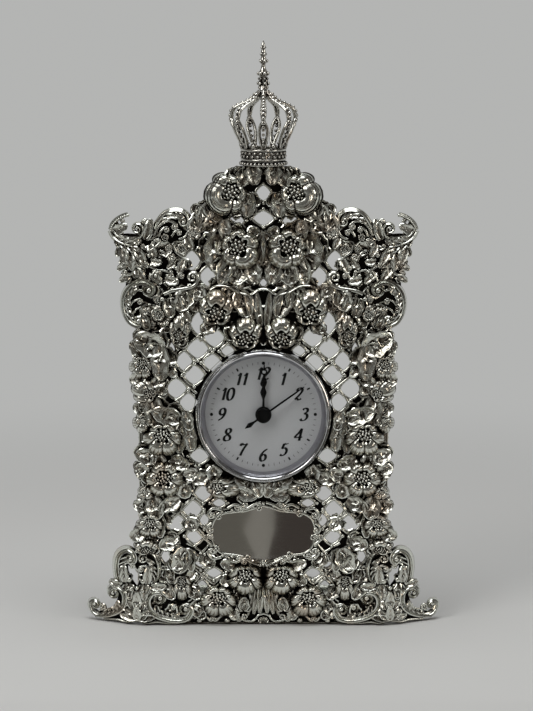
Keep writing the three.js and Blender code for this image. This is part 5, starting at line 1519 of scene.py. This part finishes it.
black_plastic = moulded_finish(
    "black_plastic", (0.020, 0.020, 0.022, 1), (0.045, 0.045, 0.048, 1), 0.5, 900.0,
)
black_rubber = moulded_finish(
    "black_rubber", (0.016, 0.016, 0.016, 1), (0.034, 0.034, 0.034, 1), 0.8, 500.0,
)
green_board = moulded_finish("green_board", (0.012, 0.085, 0.035, 1), (0.03, 0.17, 0.075, 1), 0.35, 300.0)
steel = brushed_finish("brushed_steel", (0.42, 0.43, 0.44, 1), (0.62, 0.63, 0.64, 1), 0.3, (1, 12, 1))
brass = brushed_finish("turned_brass", (0.50, 0.35, 0.12, 1), (0.72, 0.53, 0.23, 1), 0.28, (1, 10, 1))
finish_nodes(black_plastic, "cup", "main_plate", "battery_hatch", "setting_knob")
finish_nodes(black_rubber, "gasket")
finish_nodes(green_board, "circuit_board")
finish_nodes(
    steel, "case_screw_1", "case_screw_2", "case_screw_3", "stator", "quartz_crystal", "battery", "rotor",
)
finish_nodes(brass, "upper_contact", "side_contact", "intermediate_wheel", "third_wheel", "centre_wheel")
finish_nodes(brass, "seconds_wheel", "minute_pinion", "motion_wheel", "hour_wheel")

copper = brushed_finish("enamelled_copper", (0.45, 0.20, 0.08, 1), (0.66, 0.34, 0.15, 1), 0.25, (1, 1, 10))
COIL_TURNS = 36
COIL_CHEEK = 0.8
COIL_FACETS = 12
coil_low, coil_high = [[value / MM for value in corner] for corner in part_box("coil")]
coil_centre = [(a + b) / 2 for a, b in zip(coil_low, coil_high)]
coil_radius = (coil_high[0] - coil_low[0]) / 2
winding = new_shape()
wire = (coil_high[2] - coil_low[2] - 2 * COIL_CHEEK) / COIL_TURNS
helix = []
for step in range(COIL_TURNS * COIL_FACETS + 1):
    angle = math.tau * step / COIL_FACETS
    out = coil_radius - wire * 1.2
    lift = coil_low[2] + COIL_CHEEK + wire * (step / COIL_FACETS)
    across, back = out * math.cos(angle), out * math.sin(angle)
    helix.append((Vector((coil_centre[0] + across, coil_centre[1] + back, lift)), wire * 0.52))
add_wires(winding, [helix], fineness=0)
for z in (coil_low[2] + COIL_CHEEK / 2, coil_high[2] - COIL_CHEEK / 2):
    cheek = Matrix.Translation((coil_centre[0], coil_centre[1], z))
    bmesh.ops.create_cone(
        winding, cap_ends=True, segments=32, radius1=coil_radius, radius2=coil_radius, depth=COIL_CHEEK,
        matrix=cheek,
    )
settle(winding, "wound_coil", copper, body="insert", stands_for=["coil"])


# Dial
# A thin metal disc painted matt white, with numbers, a minute track and hour marks printed in black.
# The numbers are slanted and drawn with a broad pen, so their strokes go from thick to thin.
DIAL_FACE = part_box("dial")[0][1] / MM
PRINT_HEIGHT = 0.07
PRINT_THICK = 0.04
NUMBER_RING = 21.4
NUMBER_TALL = 6.4
NUMBER_SLANT = 0.22
PEN_THIN = 0.07
PEN_WIDE = 0.22
PEN_ANGLE = math.radians(14)
DIGIT_STEP = 0.50
TRACK_RING = 26.9
DOT_RADIUS = 0.85
HOUR_MARK = (1.7, 0.85)
MINUTE_MARK = (1.3, 0.22)
DIGITS = {
    "0": [
        [
            (0.30, 1.0), (0.12, 0.86), (0.05, 0.5), (0.12, 0.14), (0.30, 0.0), (0.48, 0.14), (0.55, 0.5),
            (0.48, 0.86), (0.30, 1.0),
        ]
    ],
    "1": [[(0.10, 0.78), (0.22, 0.86), (0.32, 1.0)], [(0.32, 1.0), (0.30, 0.5), (0.28, 0.0)]],
    "2": [
        [(0.08, 0.74), (0.12, 0.92), (0.30, 1.0), (0.48, 0.88), (0.46, 0.66), (0.28, 0.36), (0.04, 0.05)],
        [(0.04, 0.05), (0.18, 0.11), (0.36, 0.02), (0.54, 0.13)],
    ],
    "3": [
        [(0.08, 0.86), (0.22, 1.0), (0.44, 0.93), (0.45, 0.72), (0.22, 0.55)],
        [(0.22, 0.55), (0.46, 0.50), (0.54, 0.27), (0.40, 0.04), (0.16, 0.0), (0.03, 0.13)],
    ],
    "4": [
        [(0.42, 1.0), (0.24, 0.66), (0.00, 0.30), (0.28, 0.29), (0.60, 0.30)],
        [(0.42, 1.0), (0.41, 0.5), (0.40, 0.0)],
    ],
    "5": [
        [(0.56, 1.0), (0.40, 0.95), (0.22, 0.98)], [(0.22, 0.98), (0.18, 0.78), (0.13, 0.56)],
        [(0.13, 0.56), (0.34, 0.63), (0.52, 0.46), (0.48, 0.16), (0.26, 0.0), (0.06, 0.09)],
    ],
    "6": [[
        (0.52, 0.99), (0.28, 0.80), (0.10, 0.46), (0.12, 0.14), (0.30, 0.0), (0.50, 0.14), (0.50, 0.40),
        (0.32, 0.54), (0.13, 0.40),
    ]],
    "7": [
        [(0.05, 0.80), (0.11, 0.98), (0.28, 0.91), (0.44, 0.93), (0.57, 1.0)],
        [(0.57, 1.0), (0.38, 0.62), (0.26, 0.28), (0.20, 0.0)],
    ],
    "8": [[
        (0.30, 0.53), (0.12, 0.70), (0.14, 0.92), (0.32, 1.0), (0.48, 0.90), (0.46, 0.70), (0.28, 0.53),
        (0.08, 0.32), (0.10, 0.08), (0.30, 0.0), (0.52, 0.10), (0.52, 0.32), (0.30, 0.53),
    ]],
    "9": [[
        (0.08, 0.01), (0.34, 0.20), (0.50, 0.54), (0.48, 0.86), (0.30, 1.0), (0.10, 0.86), (0.10, 0.60),
        (0.28, 0.46), (0.47, 0.60),
    ]],
}


def no_shade(s, t):
    return 0, 0, 0


def dial_spot(u, v):
    return Vector((u, DIAL_FACE - PRINT_HEIGHT, DIAL_HEIGHT + v))


def add_pen_stroke(shape, stroke, u, v):
    points = smooth_path(stroke, 5)
    last = len(points) - 1

    def bend(s, t):
        number = round(t * last)
        x, y = points[number]
        before, after = points[max(number - 1, 0)], points[min(number + 1, last)]
        heading = math.atan2(after[1] - before[1], after[0] - before[0])
        half = s * (PEN_THIN + (PEN_WIDE - PEN_THIN) * abs(math.sin(heading - PEN_ANGLE))) / 2
        x -= half * math.sin(heading)
        y += half * math.cos(heading)
        across = x - 0.3 + NUMBER_SLANT * (y - 0.5)
        return dial_spot(u + NUMBER_TALL * across, v + NUMBER_TALL * (y - 0.5))
    bent_sheet(shape, 1, last, bend, no_shade, PRINT_THICK)


def add_bar(shape, angle, ring, length, width):
    def bend(s, t):
        out = ring + (t - 0.5) * length
        across = s * width / 2
        u = out * math.sin(angle) + across * math.cos(angle)
        return dial_spot(u, out * math.cos(angle) - across * math.sin(angle))
    bent_sheet(shape, 1, 1, bend, no_shade, PRINT_THICK)


printing = new_shape()
for hour in range(1, 13):
    angle = math.tau * hour / 12
    u, v = NUMBER_RING * math.sin(angle), NUMBER_RING * math.cos(angle)
    label = str(hour)
    for place, digit in enumerate(label):
        shift = (place - (len(label) - 1) / 2) * DIGIT_STEP * NUMBER_TALL
        for stroke in DIGITS[digit]:
            add_pen_stroke(printing, stroke, u + shift, v)
for minute in range(60):
    angle = math.tau * minute / 60
    if minute % 15 == 0:
        dot = Matrix.Translation(dial_spot(TRACK_RING * math.sin(angle), TRACK_RING * math.cos(angle)))
        upright = dot @ Matrix.Rotation(math.pi / 2, 4, "X")
        bmesh.ops.create_cone(
            printing, cap_ends=True, segments=24, radius1=DOT_RADIUS, radius2=DOT_RADIUS, depth=PRINT_THICK,
            matrix=upright,
        )
    elif minute % 5 == 0:
        add_bar(printing, angle, TRACK_RING, *HOUR_MARK)
    else:
        add_bar(printing, angle, TRACK_RING, *MINUTE_MARK)
ink = moulded_finish("printing_ink", (0.006, 0.006, 0.007, 1), (0.016, 0.016, 0.018, 1), 0.45, 1500.0)
ink.node_tree.nodes["Principled BSDF"].inputs["Specular IOR Level"].default_value = 0.2
settle(printing, "dial_printing", ink, body="insert")

paint, shader, tone = start_finish("dial_paint")
place = object_place(tone)
grain = noise(tone, place, 1800.0, 3.0)
cloud = noise(tone, place, 35.0)
speckle = grain * 0.4 + cloud * 0.6
feed(shader, "Base Color", blend_colour(tone, speckle, (0.57, 0.57, 0.595, 1), (0.635, 0.635, 0.66, 1)))
feed(shader, "Roughness", 0.5 + (grain - 0.5) * 0.2)
feed_relief(shader, tone, grain, 0.1, 0.0001)
finish_nodes(paint, "dial")


# Hands
# Stamped steel hands in satin black: hour and minute with a pear, seconds a needle with an arrow tail.
# They are pressed on the brass pipes of their wheels.
MINUTE_TURN = math.radians(0.91)
SECOND_TURN = math.radians(54.6)
HAND_THICK = 0.45
NEEDLE_FORWARD = 0.48
PEAR_OUTLINE = [
    (0.36, 13.4), (0.7, 14.6), (1.35, 16.2), (1.6, 17.4), (1.2, 18.9), (0.6, 20.2), (0.42, 21.0),
]
NEEDLE_OUTLINE = [(0.5, 3.4), (0.46, 12.0), (0.40, 20.0), (0.30, 25.0), (0.12, 25.9)]
lacquer = moulded_finish("black_lacquer", (0.001, 0.001, 0.0012, 1), (0.004, 0.004, 0.005, 1), 0.6, 1200.0)
lacquer.node_tree.nodes["Principled BSDF"].inputs["Specular IOR Level"].default_value = 0.05
finish_nodes(lacquer, "hour_hand", "minute_hand", "second_hand")


def add_blade(shape, half_outline, front, thick, turn):
    def bend(s, t):
        place = t * (len(half_outline) - 1)
        number = min(int(place), len(half_outline) - 2)
        low, high = half_outline[number], half_outline[number + 1]
        half, out = [a + (b - a) * (place - number) for a, b in zip(low, high)]
        u = out * math.sin(turn) + s * half * math.cos(turn)
        return Vector((u, front + thick, DIAL_HEIGHT + out * math.cos(turn) - s * half * math.sin(turn)))
    bent_sheet(shape, 2, 3 * (len(half_outline) - 1), bend, no_shade, thick)


minute_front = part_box("minute_hand")[0][1] / MM
second_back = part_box("second_hand")[1][1] / MM
pear = new_shape()
add_blade(pear, PEAR_OUTLINE, minute_front, HAND_THICK, MINUTE_TURN)
settle(pear, "minute_hand_pear", lacquer, body="minute")
needle = new_shape()
add_blade(needle, NEEDLE_OUTLINE, second_back - NEEDLE_FORWARD, HAND_THICK, SECOND_TURN)
settle(needle, "second_hand_needle", lacquer, body="seconds")


# Dial ring, lens and bezel
# A satin ring slopes from the glass down to the dial, and a flat clear glass lies on it.
# The stepped bezel is turned and chromium plated, and it clips over the flange of the cup.
def add_turned_facing(shape, profile, sides=128):
    points = [(radius, depth, 0) for radius, depth in profile]
    spin_profile(shape, points, (0, 1, 0), sides, 0.0005, (0, 0, DIAL_HEIGHT))


ring_front, ring_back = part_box("dial_ring")[0][1] / MM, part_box("dial_ring")[1][1] / MM
slope = new_shape()
add_turned_facing(slope, [
    (32.5, ring_front + 0.05), (32.1, ring_front + 0.02), (31.8, ring_front + 0.25),
    (31.5, ring_front + 0.8), (31.35, ring_front + 0.9), (31.25, ring_front + 1.1),
    (30.3, ring_back - 0.5), (30.2, ring_back - 0.05), (32.5, ring_back - 0.05), (32.5, ring_front + 0.05),
])
satin = brushed_finish("satin_ring", (0.40, 0.39, 0.43, 1), (0.50, 0.49, 0.53, 1), 0.34, (1, 8, 1))
settle(slope, "sloping_ring", satin, body="insert", stands_for=["dial_ring"], crease=30)

glass_front, glass_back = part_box("lens")[0][1] / MM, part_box("lens")[1][1] / MM
glass_shape = new_shape()
add_turned_facing(glass_shape, [
    (0.01, glass_front), (31.8, glass_front), (32.3, glass_front + 0.12), (32.55, glass_front + 0.5),
    (32.55, glass_back - 0.1), (32.4, glass_back), (0.01, glass_back),
])
glass, shader, tone = start_finish("clear_glass")
place = object_place(tone)
smear = noise(tone, place, 45.0, 3.0)
feed(shader, "Base Color", (1, 1, 1, 1))
feed(shader, "Metallic", 1.0)
feed(shader, "Roughness", 0.015 + smear * 0.05)
clear = tone.node("ShaderNodeBsdfTransparent", inputs={"Color": (0.97, 0.98, 0.98, 1)})
facing = tone.node("ShaderNodeLayerWeight", inputs={"Blend": 0.5}, output="Facing")
gloss = tone.maths("POWER", facing, 5.0) * 0.9 + 0.008
mixed = tone.node("ShaderNodeMixShader", inputs={0: gloss, 1: clear, 2: Tone(tone.tree, shader.outputs[0])})
glass.node_tree.links.new(mixed.socket, glass.node_tree.nodes["Material Output"].inputs["Surface"])
settle(glass_shape, "watch_glass", glass, body="insert", stands_for=["lens"], crease=5)

bezel_front, bezel_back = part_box("bezel")[0][1] / MM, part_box("bezel")[1][1] / MM
bezel = new_shape()
add_turned_facing(bezel, [
    (32.7, bezel_back), (34.9, bezel_back), (35.0, bezel_back - 0.3), (35.0, bezel_front + 3.4),
    (34.95, bezel_front + 2.6), (34.7, bezel_front + 1.9), (34.35, bezel_front + 1.5),
    (34.1, bezel_front + 1.45), (34.0, bezel_front + 1.6), (33.9, bezel_front + 1.5),
    (33.85, bezel_front + 0.8), (33.65, bezel_front + 0.25), (33.3, bezel_front),
    (32.9, bezel_front + 0.1), (32.55, bezel_front + 0.45), (32.35, bezel_front + 0.75),
    (32.7, bezel_front + 0.85), (32.7, bezel_back),
])
chrome, shader, tone = start_finish("chromium_plate")
place = object_place(tone)
ripple = noise(tone, place, 180.0, 3.0)
feed(shader, "Base Color", blend_colour(tone, ripple, (0.60, 0.61, 0.63, 1), (0.68, 0.69, 0.71, 1)))
feed(shader, "Metallic", 1.0)
feed(shader, "Roughness", 0.07 + ripple * 0.08)
feed_relief(shader, tone, ripple, 0.08, 0.0003)
settle(bezel, "chrome_bezel", chrome, body="insert", stands_for=["bezel"], crease=35)


# Studio
# A pale floor that fades into the background, soft light from above and the camera at the photo's angle.
# Three cards lie in front of the clock, out of the camera's sight, for the polished plate to reflect.
GREY = (0.456, 0.460, 0.452, 1)
ROOM = (0.085, 0.08, 0.075, 1)
FLOOR_RADIUS = 2.5
FADE_FROM = 0.2
FADE_TO = 0.7
SKY_FROM = 0.2
SKY_TO = 0.8
LIGHT_AIM = Vector((0, 0, 0.14))
LENS = 146.85
SENSOR = 36
CAMERA_PLACE = (0.0016, -1.5, 0.3773)
CAMERA_DOWN = 9.0
floor_shape = bmesh.new()
bmesh.ops.create_circle(floor_shape, cap_ends=True, radius=FLOOR_RADIUS, segments=96)
floor_object = shape_object(floor_shape, "floor")
pale, shader, tone = start_finish("pale_floor")
feed(shader, "Base Color", (0.70, 0.705, 0.695, 1))
feed(shader, "Roughness", 0.7)
place = object_place(tone)
away = tone.node("ShaderNodeVectorMath", {"operation": "LENGTH"}, {0: place}, output="Value")
glow = tone.node("ShaderNodeEmission", inputs={"Color": GREY, "Strength": 1.0})
body = Tone(tone.tree, shader.outputs[0])
fading = between(tone, away, FADE_FROM, FADE_TO)
faded = tone.node("ShaderNodeMixShader", inputs={0: fading, 1: body, 2: glow})
output = pale.node_tree.nodes["Material Output"]
pale.node_tree.links.new(faded.socket, output.inputs["Surface"])
floor_object.data.materials.append(pale)

CARDS = [
    (
        "left_card", 0.001, [(-0.9, -0.165), (0.0, -0.165), (0.0, -1.15), (-0.9, -1.15)],
        (0.135, 0.130, 0.112, 1),
    ),
    (
        "right_card", 0.001, [(0.0, -0.165), (0.9, -0.165), (0.9, -1.15), (0.0, -1.15)],
        (0.040, 0.031, 0.026, 1),
    ),
    (
        "middle_card", 0.002,
        [
            (-0.0046, -0.165), (0.0025, -0.165), (0.0058, -0.242), (0.0044, -0.318), (0.02, -1.0),
            (-0.03, -1.0), (-0.0070, -0.318), (-0.0113, -0.242),
        ],
        (0.29, 0.285, 0.26, 1),
    ),
]
for name, height, outline, tint in CARDS:
    card_shape = bmesh.new()
    card_shape.faces.new([card_shape.verts.new((x, y, height)) for x, y in outline])
    bmesh.ops.recalc_face_normals(card_shape, faces=card_shape.faces)
    card = shape_object(card_shape, name)
    card.visible_camera = False
    card.visible_shadow = False
    card.visible_diffuse = False
    cloth, shader, tone = start_finish(name)
    feed(shader, "Base Color", tint)
    feed(shader, "Roughness", 0.9)
    card.data.materials.append(cloth)

world = bpy.data.worlds.new("studio")
bpy.context.scene.world = world
world.use_nodes = True
sky = Tone(world.node_tree)
seen = sky.node("ShaderNodeLightPath", output="Is Camera Ray")
glossy = sky.node("ShaderNodeLightPath", output="Is Glossy Ray")
passed = sky.node("ShaderNodeLightPath", output="Is Transmission Ray")
heading = sky.node("ShaderNodeTexCoord", output="Generated")
backward = sky.node("ShaderNodeSeparateXYZ", inputs={0: heading}, output=1)
backdrop = between(sky, backward, SKY_FROM, SKY_TO)
share = sky.maths("MAXIMUM", seen, (glossy + passed) * backdrop)
tint = blend_colour(sky, share, ROOM, GREY)
background = world.node_tree.nodes["Background"]
world.node_tree.links.new(tint.socket, background.inputs["Color"])

LIGHTS = [
    ("top", (0.0, -0.15, 1.5), 1.0, 12, (0.98, 0.99, 1.0)),
    ("key", (-0.9, -0.9, 1.0), 0.66, 6.0, (1.0, 0.98, 0.95)),
    ("fill", (1.1, -0.6, 0.6), 0.36, 1.6, (1.0, 0.95, 0.88)),
    ("low", (0.5, -1.3, 0.1), 0.2, 0.6, (1.0, 0.85, 0.7)),
]
for name, place, size, power, tint in LIGHTS:
    lamp = bpy.data.lights.new(name, "AREA")
    lamp.size = size
    lamp.energy = power
    lamp.color = tint
    holder = bpy.data.objects.new(name, lamp)
    holder.location = place
    toward = LIGHT_AIM - Vector(place)
    holder.rotation_euler = toward.to_track_quat("-Z", "Y").to_euler()
    bpy.context.scene.collection.objects.link(holder)

camera = bpy.data.cameras.new("camera")
camera.sensor_fit = "VERTICAL"
camera.sensor_height = SENSOR
camera.lens = LENS
eye = bpy.data.objects.new("camera", camera)
eye.location = CAMERA_PLACE
eye.rotation_euler = (math.radians(90 - CAMERA_DOWN), 0, 0)
bpy.context.scene.collection.objects.link(eye)
bpy.context.scene.camera = eye
bpy.context.scene.view_settings.view_transform = "Standard"
